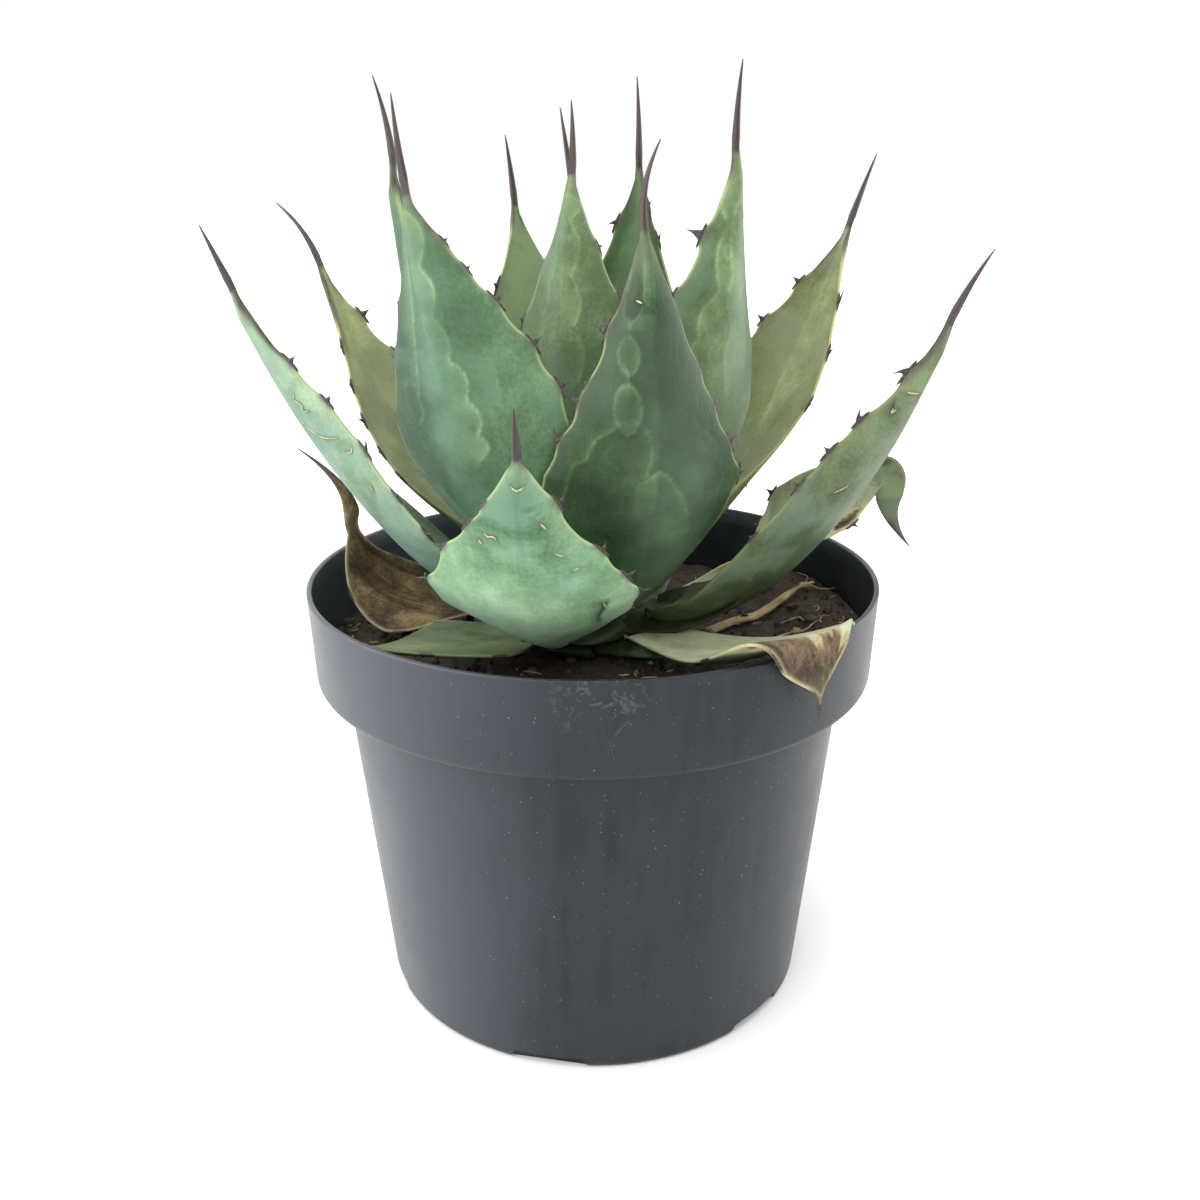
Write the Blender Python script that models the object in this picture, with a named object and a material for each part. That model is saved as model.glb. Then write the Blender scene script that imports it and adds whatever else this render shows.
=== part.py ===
"""Potted agave in a round nursery pot, in metres with +Z up.

The front is -Y. An azimuth runs from the front (0 degrees) towards +X (90 degrees).
Sizes in the tables below are in millimetres and angles in degrees.
"""
import math

import bpy
import numpy as np

for item in list(bpy.data.objects):
    bpy.data.objects.remove(item, do_unlink=True)

MM = 0.001
GAP = 0.3

# Pot profile as radius and height: the outside from the bottom up, the inside from the rim down.
POT_OUTSIDE = (
    (78.0, 0.0), (79.4, 1.6), (91.0, 121.0), (91.3, 122.6),
    (100.4, 123.0), (101.0, 124.5), (102.3, 153.2), (102.5, 156.0),
)
POT_INSIDE = (
    (100.6, 156.0), (99.8, 150.0), (98.9, 125.5), (89.4, 123.8), (77.9, 7.0), (76.0, 6.0),
)
POT_SEGMENTS = 72

# Drainage notches in the bottom edge of the pot.
NOTCH_COUNT = 6
NOTCH_FIRST_AZIMUTH = -12.0
NOTCH_WIDTH = 29.0
NOTCH_TOP_WIDTH = 24.0
NOTCH_HEIGHT = 4.0
NOTCH_DEPTH = 4.5

# Soil: the sides under the surface, then the surface height by radius.
SOIL_SIDE = ((75.6, 6.3), (77.4, 7.4), (88.6, 120.6), (88.9, 124.1), (98.3, 125.9))
SOIL_RADII = (98.4, 97.0, 90.0, 80.0, 68.0, 52.0, 34.0)
SOIL_EDGE_TOP = 129.6
SOIL_CENTRE_TOP = 132.0
SOIL_HEAP_HEIGHT = 8.0
SOIL_HEAP_AZIMUTH = 98.0
SOIL_HEAP_SPREAD = 50.0
SOIL_HEAP_RADII = (62.0, 90.0)
SOIL_SEGMENTS = 48

STEM_PROFILE = (
    (23.0, 132.3), (23.6, 138.0), (22.0, 146.0), (17.0, 152.0),
    (13.6, 158.0), (10.2, 165.0), (6.8, 172.0), (3.6, 178.0),
)
STEM_TOP = 185.0
STEM_SEGMENTS = 24

# Dried root on the soil: plan points, half width along it and thickness.
ROOT_PATH = ((43.0, -2.0), (55.0, 14.0), (66.0, 22.0), (84.0, 39.0))
ROOT_HALF_WIDTH = 3.4
ROOT_THICKNESS = 1.6
ROOT_STATIONS = 14
ROOT_CLEARANCE = 0.6

# Every leaf follows a Bezier midrib whose points are (out, sideways, height) at its azimuth.
LEAF_DEFAULTS = dict(
    half_width=30.0, neck=0.36, widest=0.46, taper=1.0, side_shares=(1.0, 1.0), cup=(14, 40), roll=(0, 0),
    thickness=(9.0, 3.6), spine=(26, 0, 0), teeth=(0.31, 0.43, 0.55, 0.67, 0.79), bite=3.0,
    colour=(0.27, 0.38, 0.29), roughness=0.55,
)
GREEN = (0.27, 0.38, 0.29)
OLIVE = (0.33, 0.36, 0.22)
BROWN = (0.16, 0.11, 0.07)
FEW_TEETH = (0.35, 0.55, 0.75)
FOUR_TEETH = (0.34, 0.48, 0.62, 0.76)

LEAVES = {
    "leaf_front_low": dict(
        azimuth=-10, path=((23.2, 0, 149), (66, -8, 151), (88, -5, 168), (119, 1, 227)),
        half_width=31.5, widest=0.55, taper=0.8, roll=(0, -4), cup=(14, 22), spine=(14, 0, 0)),
    "leaf_front_tall": dict(
        azimuth=12, path=((20.0, 0, 158), (56, 1, 155), (88, 3, 208), (66, 1, 281)),
        half_width=31.5, widest=0.50, taper=0.95, spine=(22, -8, 16)),
    "leaf_left_tall": dict(
        azimuth=-20, path=((14.0, -3, 166), (58, -8, 165), (84, -13, 216), (75, -29, 291)),
        half_width=32, neck=0.2, widest=0.55, taper=0.85, side_shares=(0.82, 1.0),
        spine=(25, 0, 2)),
    "leaf_left_inner": dict(
        azimuth=-95, path=((12.3, 0, 165), (38, 0, 172), (60, 0, 220), (66, 0, 298)),
        half_width=27, neck=0.25, spine=(26, -7, 0), teeth=FOUR_TEETH),
    "leaf_left_back": dict(
        azimuth=-115, path=((19.2, 0, 155), (40, 0, 162), (84, 0, 195), (112, 0, 262)),
        half_width=25, neck=0.3, widest=0.42, roll=(0, 24), spine=(27, -26, 0), colour=OLIVE),
    "leaf_left_low": dict(
        azimuth=-83, path=((22.9, 0, 149), (46, 0, 150), (88, 0, 186), (119, 0, 260)),
        half_width=29, neck=0.35, widest=0.36, taper=0.9, roll=(0, -31), cup=(14, 30),
        spine=(20, 0, 0)),
    "leaf_right_low": dict(
        azimuth=63, path=((24.1, 0, 149), (53, 0, 147), (91, 0, 182), (121, 0, 253.5)),
        half_width=26, neck=0.36, widest=0.44, roll=(0, 23), cup=(14, 30), spine=(22, -4, 3)),
    "leaf_right_folded": dict(
        azimuth=99, path=((23.8, 0, 141), (60, 0, 143), (115, 0, 214), (112, 0, 179)),
        half_width=16, widest=0.6, taper=0.55, roll=(65, -85), thickness=(6, 3), spine=(18, 20, 24),
        teeth=FOUR_TEETH, colour=OLIVE),
    "leaf_right_inner": dict(
        azimuth=40, path=((10.9, 0, 167), (40, 4, 176), (56, 9, 230), (44, 22, 302)),
        half_width=31, neck=0.2, widest=0.42, spine=(26, 0, 4), teeth=FOUR_TEETH),
    "leaf_centre_front": dict(
        azimuth=-20, path=((4.1, 0, 178), (20, 0, 192), (24, 0, 240), (12, -2, 295)),
        half_width=24, neck=0.25, widest=0.42, taper=0.75, thickness=(6, 3.5),
        spine=(21, 0, -3), teeth=FOUR_TEETH),
    "leaf_right_back": dict(
        azimuth=115, path=((18.8, 0, 155), (40, 0, 161), (74, 0, 198), (105, 0, 276)),
        half_width=23, neck=0.2, widest=0.58, roll=(0, -22), spine=(25, -2, 0), colour=OLIVE),
    "leaf_centre_left": dict(
        azimuth=-152, path=((10.1, 0, 166), (30, 0, 178), (48, 0, 225), (50, 5, 284)),
        half_width=27, neck=0.22, widest=0.5, taper=0.85, spine=(22, 0, 2), teeth=FOUR_TEETH),
    "leaf_centre_right": dict(
        azimuth=157, path=((7.8, 0, 171), (26, 0, 184), (44, 0, 236), (44, 0, 297)),
        half_width=23, neck=0.25, widest=0.5, taper=0.85, spine=(28, 0, 2), teeth=FOUR_TEETH),
    "leaf_rim_left": dict(
        azimuth=-40, path=((23.8, 0, 141), (56, -4, 144), (80, -10, 147), (91, -22, 148.5)),
        half_width=22, cup=(5, 5), thickness=(5, 3), spine=(5, 0, 0), teeth=FEW_TEETH, bite=1.0,
        colour=OLIVE),
    "leaf_rim_right": dict(
        azimuth=39, path=((23.9, 0, 141), (60, 0, 141), (96, -1, 144), (105, -3, 172),
                          (113, -4, 172), (108, 2, 140)),
        half_width=22, widest=0.76, roll=(0, 6), cup=(4, 4), thickness=(6, 2.2),
        spine=(6, 0, 0), teeth=(0.42, 0.58, 0.72, 0.84), bite=1.0, colour=OLIVE),
    "leaf_dead": dict(
        azimuth=-98, path=((23.8, 0, 139), (58, 0, 143), (88, 0, 142), (90, 0, 175)),
        half_width=25, neck=0.14, widest=0.55, roll=(0, 44), cup=(6, 8), side_shares=(0.5, 1.0),
        thickness=(2.5, 1.6), spine=(24, -32, 24), teeth=FEW_TEETH, bite=1.2, colour=BROWN),
    "leaf_back": dict(
        azimuth=175, path=((19.3, 0, 156), (46, 0, 161), (80, 0, 196), (100, 0, 252)),
        half_width=28, spine=(20, 0, 0), teeth=FOUR_TEETH),
    "leaf_back_left": dict(
        azimuth=-148, path=((23.6, 0, 145), (52, 0, 146), (82, 0, 176), (100, 0, 226)),
        half_width=27, neck=0.3, spine=(20, 0, 0), teeth=FOUR_TEETH),
    "leaf_back_right": dict(
        azimuth=146, path=((23.1, 0, 145), (52, 0, 148), (84, 0, 184), (98, 0, 236)),
        half_width=27, neck=0.3, spine=(20, 0, 0), teeth=FOUR_TEETH),
    "leaf_bud": dict(
        azimuth=180, path=((0, 0, 186), (0, 0, 205), (2, 0, 250), (4, 6, 288)),
        half_width=8, widest=0.4, cup=(20, 40), thickness=(10, 3), spine=(26, 0, 0),
        teeth=(), bite=0.0),
}

# Sampling of a leaf along and across its blade.
BLADE_STATIONS = (0.0, 0.10, 0.21, 0.88, 0.94, 1.0)
PLAIN_STATIONS = (0.37, 0.49, 0.61, 0.73)
TOOTH_SPAN = 0.016
ACROSS = 4
PATH_SAMPLES = 300
MARGIN_HALF_THICKNESS = 0.3
SPINE_RINGS = 3


def smooth(value):
    """Ease from 0 to 1."""
    value = np.clip(value, 0.0, 1.0)
    return value * value * (3.0 - 2.0 * value)


def bezier(points, t):
    """Points of a Bezier curve of any degree."""
    points = np.array(points, float)
    degree = len(points) - 1
    t = np.asarray(t)[:, None]
    return sum(
        math.comb(degree, i) * (1 - t) ** (degree - i) * t ** i * points[i]
        for i in range(degree + 1))


def heading(azimuth):
    """Outward and sideways unit vectors at an azimuth."""
    angle = math.radians(azimuth)
    out = np.array((math.sin(angle), -math.cos(angle), 0.0))
    side = np.array((math.cos(angle), math.sin(angle), 0.0))
    return out, side


def leaf_frames(leaf, stations):
    """Midrib points with their tangent, upper-side normal and sideways vectors."""
    out, side = heading(leaf["azimuth"])
    up = np.array((0.0, 0.0, 1.0))
    control = [o * out + s * side + z * up for o, s, z in leaf["path"]]
    curve = bezier(control, np.linspace(0.0, 1.0, PATH_SAMPLES + 1))
    steps = np.linalg.norm(np.diff(curve, axis=0), axis=1)
    share = np.concatenate(([0.0], np.cumsum(steps)))
    share /= share[-1]

    def at(where):
        where = np.clip(where, 0.0, 1.0)
        return np.stack([np.interp(where, share, curve[:, i]) for i in range(3)], -1)

    stations = np.asarray(stations)
    tangent = at(stations + 0.004) - at(stations - 0.004)
    tangent /= np.linalg.norm(tangent, axis=1)[:, None]
    across = side - tangent * (tangent @ side)[:, None]
    across /= np.linalg.norm(across, axis=1)[:, None]
    normal = np.cross(tangent, across)
    first, last = leaf["roll"]
    roll = np.radians(first + (last - first) * smooth(stations))[:, None]
    rolled_normal = normal * np.cos(roll) + across * np.sin(roll)
    rolled_across = across * np.cos(roll) - normal * np.sin(roll)
    return at(stations), tangent, rolled_normal, rolled_across


def half_width(leaf, s):
    """Half width of the blade at share s of its length."""
    if s > leaf["widest"]:
        share = smooth((1.0 - s) / (1.0 - leaf["widest"])) ** leaf["taper"]
    else:
        neck = leaf["neck"]
        share = neck + (1.0 - neck) * smooth((s - 0.08) / (leaf["widest"] - 0.08))
    return max(leaf["half_width"] * share, 2.0)


def blade_ring(leaf, s, centre, tangent, normal, across):
    """One closed section: the upper side left to right, then the lower side back."""
    width = half_width(leaf, s)
    first, last = leaf["cup"]
    cup = math.radians(first + (last - first) * smooth(s))
    u = np.linspace(-1.0, 1.0, ACROSS + 1)
    turn = cup * np.abs(u)
    shares = np.where(u < 0, *leaf["side_shares"])
    sideways = np.sin(turn) / cup * width * np.sign(u) * shares
    lift = (1.0 - np.cos(turn)) / cup * width * shares
    first, last = leaf["thickness"]
    full = first + (last - first) * smooth(s * 1.1)
    margin = 2.0 * MARGIN_HALF_THICKNESS
    thickness = margin + (full - 2.0 * margin) * (1.0 - np.abs(u) ** 1.8)
    thickness = np.minimum(thickness, 1.3 * width + 0.5)
    upper = centre + np.outer(sideways, across) + np.outer(lift + MARGIN_HALF_THICKNESS, normal)
    lower = (centre + np.outer(sideways + np.sin(np.sign(u) * turn) * thickness, across)
             + np.outer(lift - np.cos(turn) * thickness, normal))
    if any(abs(s - tooth) < 0.001 for tooth in leaf["teeth"]):
        for index, sign in ((0, -1.0), (-1, 1.0)):
            reach = across * sign * math.cos(cup) + normal * math.sin(cup) + tangent * 0.35
            upper[index] += reach * leaf["bite"]
            lower[index] += reach * leaf["bite"]
    return np.vstack((upper, lower[::-1]))


def spine_rings(leaf, centre, tangent, normal, across):
    """Rings of the terminal spine, which bends towards the upper side or sideways."""
    length, bend_up, bend_side = leaf["spine"]
    base = half_width(leaf, 1.0)
    rings = []
    for step in range(1, SPINE_RINGS + 1):
        t = step / SPINE_RINGS
        radius = base * (1.0 - t) ** 0.75 + 0.25
        lean = (normal * math.tan(math.radians(bend_up))
                + across * math.tan(math.radians(bend_side)))
        middle = centre + length * (tangent * t + lean * t * t)
        ring = []
        for sign in (1, -1):
            for j in range(ACROSS + 1):
                turn = math.pi * (j + 0.5) / (ACROSS + 1)
                angle = math.pi - turn if sign > 0 else -turn
                ring.append(middle + radius * (math.cos(angle) * across + math.sin(angle) * normal))
        rings.append(np.array(ring))
    return rings


def skin(rings):
    """Closed triangle mesh through rings of equal length, capped at both ends."""
    count = len(rings[0])
    faces = []
    for k in range(len(rings) - 1):
        for j in range(count):
            a = k * count + j
            b = k * count + (j + 1) % count
            c = b + count
            d = a + count
            faces += [(a, c, b), (a, d, c)]
    last = (len(rings) - 1) * count
    for j in range(1, count - 1):
        faces.append((0, j, j + 1))
        faces.append((last, last + j + 1, last + j))
    return np.vstack(rings), faces


def leaf_mesh(settings):
    """Vertices and faces of one leaf with its teeth and its spine."""
    leaf = {**LEAF_DEFAULTS, **settings}
    stations = set(BLADE_STATIONS)
    if not leaf["teeth"]:
        stations.update(PLAIN_STATIONS)
    for tooth in leaf["teeth"]:
        stations.update(round(tooth + k * TOOTH_SPAN, 4) for k in (-1, 0, 1))
    stations = sorted(stations)
    centre, tangent, normal, across = leaf_frames(leaf, stations)
    rings = [
        blade_ring(leaf, s, centre[k], tangent[k], normal[k], across[k])
        for k, s in enumerate(stations)]
    rings += spine_rings(leaf, centre[-1], tangent[-1], normal[-1], across[-1])
    return skin(rings)


def soil_top(azimuth, radius):
    """Height of the soil surface, which is heaped against the wall on one side."""
    inner, outer = SOIL_HEAP_RADII
    away = abs((azimuth - SOIL_HEAP_AZIMUTH + 180.0) % 360.0 - 180.0)
    heap = smooth(1.7 * (1.0 - away / SOIL_HEAP_SPREAD)) * smooth((radius - inner) / (outer - inner))
    slope = SOIL_CENTRE_TOP + (SOIL_EDGE_TOP - SOIL_CENTRE_TOP) * radius / SOIL_RADII[0]
    return slope + SOIL_HEAP_HEIGHT * heap


def circle(radius, height, segments):
    """Points of a level circle; the height may be a function of the azimuth."""
    points = []
    for k in range(segments):
        azimuth = 360.0 * k / segments
        out, _ = heading(azimuth)
        level = height(azimuth) if callable(height) else height
        points.append((radius * out[0], radius * out[1], level))
    return np.array(points)


def revolve(profile, segments, top=None):
    """Closed body from a profile of circles; its first circle is a flat bottom.

    The last circle closes to a point of height top, or as a flat face.
    """
    rings = [circle(radius, height, segments) for radius, height in profile]
    vertices = np.vstack(rings)
    faces = [tuple(reversed(range(segments)))]
    for k in range(len(rings) - 1):
        for j in range(segments):
            a = k * segments + j
            b = k * segments + (j + 1) % segments
            faces.append((a, b, b + segments))
            faces.append((a, b + segments, a + segments))
    last = (len(rings) - 1) * segments
    if top is None:
        faces.append(tuple(range(last, last + segments)))
    else:
        vertices = np.vstack((vertices, [(0.0, 0.0, top)]))
        for j in range(segments):
            faces.append((last + j, last + (j + 1) % segments, len(vertices) - 1))
    return vertices, faces


def root_mesh():
    """Flat dried root that follows the soil."""
    path = bezier(ROOT_PATH, np.linspace(0.0, 1.0, ROOT_STATIONS))
    rings = []
    for k, point in enumerate(path):
        t = k / (ROOT_STATIONS - 1)
        ahead = path[min(k + 1, ROOT_STATIONS - 1)] - path[max(k - 1, 0)]
        ahead /= np.linalg.norm(ahead)
        side = np.array((-ahead[1], ahead[0]))
        wide = ROOT_HALF_WIDTH * (0.25 + 0.75 * math.sin(math.pi * min(1.0, 0.15 + t)) ** 0.5)
        ring = []
        for across, above in ((-1.0, 0.0), (-0.6, 1.0), (0.6, 1.0), (1.0, 0.0)):
            x, y = point + side * across * wide
            azimuth = math.degrees(math.atan2(x, -y))
            ground = soil_top(azimuth, math.hypot(x, y)) + ROOT_CLEARANCE
            ring.append((x, y, ground + above * ROOT_THICKNESS))
        rings.append(np.array(ring))
    return skin(rings)


def enclosed_volume(vertices, faces):
    """Signed volume of a closed mesh."""
    total = 0.0
    for face in faces:
        for k in range(1, len(face) - 1):
            total += np.dot(vertices[face[0]], np.cross(vertices[face[k]], vertices[face[k + 1]]))
    return total / 6.0


def add_piece(name, vertices, faces, colour, roughness, smooth_angle=40.0):
    """Add a named object with its own material; sizes come in millimetres."""
    if enclosed_volume(vertices, faces) < 0.0:
        faces = [tuple(reversed(face)) for face in faces]
    mesh = bpy.data.meshes.new(name)
    mesh.from_pydata((vertices * MM).tolist(), [], faces)
    mesh.update()
    mesh.shade_smooth()
    mesh.set_sharp_from_angle(angle=math.radians(smooth_angle))
    piece = bpy.data.objects.new(name, mesh)
    bpy.context.scene.collection.objects.link(piece)
    material = bpy.data.materials.new(name)
    material.use_nodes = True
    shader = material.node_tree.nodes["Principled BSDF"]
    shader.inputs["Base Color"].default_value = (*colour, 1.0)
    shader.inputs["Roughness"].default_value = roughness
    shader.inputs["Metallic"].default_value = 0.0
    mesh.materials.append(material)
    return piece


def notch_cutter(azimuth, index):
    """Block with slanted ends that cuts one notch into the bottom edge of the pot."""
    out, side = heading(azimuth)
    inner = POT_OUTSIDE[1][0] - NOTCH_DEPTH
    outer = POT_OUTSIDE[1][0] + NOTCH_DEPTH
    section = (
        (-NOTCH_WIDTH / 2, -1.0), (NOTCH_WIDTH / 2, -1.0),
        (NOTCH_TOP_WIDTH / 2, NOTCH_HEIGHT), (-NOTCH_TOP_WIDTH / 2, NOTCH_HEIGHT))
    vertices = np.array([
        out * reach + side * across + np.array((0.0, 0.0, height))
        for reach in (inner, outer) for across, height in section])
    faces = [(0, 1, 2, 3), (7, 6, 5, 4)]
    faces += [(k, k + 4, (k + 1) % 4 + 4, (k + 1) % 4) for k in range(4)]
    cutter = add_piece(f"notch_cutter_{index}", vertices, faces, (0.0, 0.0, 0.0), 0.5)
    cutter.hide_render = True
    cutter.display_type = "WIRE"
    return cutter


def build_pot():
    """Revolved pot with its drainage notches."""
    pot = add_piece("pot", *revolve(POT_OUTSIDE + POT_INSIDE, POT_SEGMENTS),
                    (0.055, 0.058, 0.064), 0.5)
    for index in range(NOTCH_COUNT):
        cutter = notch_cutter(NOTCH_FIRST_AZIMUTH + 360.0 * index / NOTCH_COUNT, index)
        cut = pot.modifiers.new("notch", "BOOLEAN")
        cut.operation = "DIFFERENCE"
        cut.solver = "EXACT"
        cut.object = cutter
    bpy.context.view_layer.update()
    shaped = bpy.data.meshes.new_from_object(pot.evaluated_get(bpy.context.evaluated_depsgraph_get()))
    pot.modifiers.clear()
    pot.data = shaped
    for item in list(bpy.data.objects):
        if item.name.startswith("notch_cutter"):
            bpy.data.objects.remove(item, do_unlink=True)
    return pot


def build_soil():
    """Soil body with its heaped surface."""
    surface = tuple(
        (radius, lambda azimuth, radius=radius: soil_top(azimuth, radius)) for radius in SOIL_RADII)
    vertices, faces = revolve(SOIL_SIDE + surface, SOIL_SEGMENTS, SOIL_CENTRE_TOP)
    return add_piece("soil", vertices, faces, (0.045, 0.032, 0.024), 0.95)


def build():
    """Add every piece of the plant and its pot."""
    build_pot()
    build_soil()
    add_piece("stem", *revolve(STEM_PROFILE, STEM_SEGMENTS, STEM_TOP), (0.17, 0.19, 0.10), 0.7)
    add_piece("root_strip", *root_mesh(), (0.42, 0.30, 0.17), 0.85)
    for name, settings in LEAVES.items():
        leaf = {**LEAF_DEFAULTS, **settings}
        add_piece(name, *leaf_mesh(settings), leaf["colour"], leaf["roughness"], 50.0)


build()
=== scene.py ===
import math
import bpy
import numpy as np
from mathutils import Matrix, Vector, noise


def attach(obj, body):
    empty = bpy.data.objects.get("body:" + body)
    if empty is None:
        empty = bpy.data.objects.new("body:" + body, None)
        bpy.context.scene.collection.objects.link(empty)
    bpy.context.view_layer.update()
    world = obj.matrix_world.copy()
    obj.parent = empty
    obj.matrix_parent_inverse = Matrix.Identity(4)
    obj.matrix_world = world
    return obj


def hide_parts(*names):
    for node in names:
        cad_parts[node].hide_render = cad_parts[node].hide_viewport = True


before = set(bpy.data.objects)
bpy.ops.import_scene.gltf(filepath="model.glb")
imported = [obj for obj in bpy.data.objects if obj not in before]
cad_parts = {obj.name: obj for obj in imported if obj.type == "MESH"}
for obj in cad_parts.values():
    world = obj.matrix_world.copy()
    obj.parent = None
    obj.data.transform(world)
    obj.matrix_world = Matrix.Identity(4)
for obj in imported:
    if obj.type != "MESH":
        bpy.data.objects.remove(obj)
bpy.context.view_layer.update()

# The tables are in millimetres and degrees, and the meshes come out in metres.
# The front is -Y. An azimuth runs from the front (0) towards +X (90).
mm = 0.001
fullTurn = 2 * math.pi
upwards = np.array((0.0, 0.0, 1.0))
draw = np.random.default_rng(11)  # every random draw comes from here, in a fixed order


def toLinear(hexColour):
    parts = [int(hexColour[i:i + 2], 16) / 255 for i in (1, 3, 5)]
    return (*[c / 12.92 if c <= 0.04045 else ((c + 0.055) / 1.055) ** 2.4 for c in parts], 1.0)


def smooth(value):
    value = np.clip(value, 0.0, 1.0)
    return value * value * (3.0 - 2.0 * value)


def between(pair, share):  # from the first value of a pair to its second
    return pair[0] + (pair[1] - pair[0]) * share


def unit(vectors):
    return vectors / np.linalg.norm(vectors, axis=-1, keepdims=True)


def bezier(points, t):
    points = np.array(points, float)
    degree = len(points) - 1
    t = np.asarray(t)[:, None]
    return sum(math.comb(degree, i) * (1 - t) ** (degree - i) * t ** i * points[i]
               for i in range(degree + 1))


def softPath(points, stepsPerSpan=10):  # a Catmull-Rom curve through given points
    points = np.array(points, float)
    padded = np.vstack((2 * points[0] - points[1], points, 2 * points[-1] - points[-2]))
    spans = len(points) - 1
    t = np.linspace(0, spans, spans * stepsPerSpan + 1)
    i = np.minimum(t.astype(int), spans - 1)
    f = (t - i)[:, None]
    p0, p1, p2, p3 = (padded[i + k] for k in range(4))
    return 0.5 * (2 * p1 + (p2 - p0) * f + (2 * p0 - 5 * p1 + 4 * p2 - p3) * f ** 2
                  + (3 * p1 - p0 - 3 * p2 + p3) * f ** 3)


def crossing(path):  # level unit vectors square to a plan path
    run = unit(np.gradient(path, axis=0))
    return np.stack((-run[:, 1], run[:, 0]), -1)


def heading(azimuth):
    angle = math.radians(azimuth)
    out = np.array((math.sin(angle), -math.cos(angle), 0.0))
    side = np.array((math.cos(angle), math.sin(angle), 0.0))
    return out, side


def ringBlock(rings, **fields):  # a closed skin through rings, with values for each point
    rings = np.asarray(rings, float)
    count, size = rings.shape[:2]
    k, j = np.meshgrid(np.arange(count - 1), np.arange(size), indexing="ij")
    a = (k * size + j).ravel()
    b = (k * size + (j + 1) % size).ravel()
    quads = np.stack((a, b, b + size, a + size), -1)
    points = rings.reshape(-1, 3)
    first, second, third, fourth = (points[quads[:, i]] for i in range(4))
    volume = np.einsum("ij,ij->", first, np.cross(second, third) + np.cross(third, fourth))
    last = (count - 1) * size
    caps = [list(range(size))[::-1], list(range(last, last + size))]
    if volume < 0:
        quads = quads[:, ::-1]
        caps = [cap[::-1] for cap in caps]
    values = {name: np.broadcast_to(np.asarray(value, float), (count, size)).ravel()
              if np.ndim(value) < 3 else np.asarray(value, float).reshape(-1, 3)
              for name, value in fields.items()}
    return dict(points=points, faces=quads.tolist() + caps, values=values)


def tubeBlock(path, radiusA, radiusB, axisA, sides, **fields):
    # a tube along a path, flattened: radiusA lies along axisA, radiusB across it
    path = np.asarray(path, float)
    run = unit(np.gradient(path, axis=0))
    first = unit(axisA - run * (run * axisA).sum(1, keepdims=True))
    second = np.cross(run, first)
    turn = np.linspace(0, fullTurn, sides, endpoint=False)[None, :, None]
    around = (first[:, None, :] * np.cos(turn) * np.reshape(radiusA, (-1, 1, 1))
              + second[:, None, :] * np.sin(turn) * np.reshape(radiusB, (-1, 1, 1)))
    shaped = {name: np.reshape(value, (-1, 1)) if np.ndim(value) == 1 else value
              for name, value in fields.items()}
    return ringBlock(path[:, None, :] + around, **shaped)


def grainField(shape, across, along, layer):  # where each point lies among the fibres
    return np.stack([np.broadcast_to(part, shape) for part in (across, along, layer)], -1)


def meshOf(name, blocks):
    faces, start = [], 0
    for block in blocks:
        faces += [[i + start for i in face] for face in block["faces"]]
        start += len(block["points"])
    mesh = bpy.data.meshes.new(name)
    points = np.vstack([block["points"] for block in blocks]) * mm
    mesh.from_pydata(points.tolist(), [], faces)
    return mesh


def linked(name, data):
    made = bpy.data.objects.new(name, data)
    bpy.context.scene.collection.objects.link(made)
    return made


def addPiece(name, blocks, material, node):
    mesh = meshOf(name, blocks)
    for key in sorted({key for block in blocks for key in block["values"]}):
        kind, word, width = ("FLOAT_VECTOR", "vector", 3) if key == "grain" else ("FLOAT", "value", 1)
        parts = [np.ravel(block["values"].get(key, np.zeros(len(block["points"]) * width)))
                 for block in blocks]
        field = mesh.attributes.new(key, kind, "POINT")
        field.data.foreach_set(word, np.concatenate(parts).astype(np.float32))
    mesh.update()
    mesh.shade_smooth()
    mesh.materials.append(material)
    piece = linked(name, mesh)
    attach(piece, "root")
    if node:
        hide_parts(node)
    return piece


def perMm(size):  # texture scale for a pattern of this size in millimetres
    return 1000.0 / size


def addNode(tree, kind, inputs={}, output=0, **options):  # inputs take sockets, numbers or colours
    made = tree.nodes.new("ShaderNode" + kind)
    for name, option in options.items():
        setattr(made, name, option)
    for socket, value in inputs.items():
        if isinstance(value, bpy.types.NodeSocket):
            tree.links.new(value, made.inputs[socket])
        else:
            made.inputs[socket].default_value = toLinear(value) if isinstance(value, str) else value
    return made.outputs[output]


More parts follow.
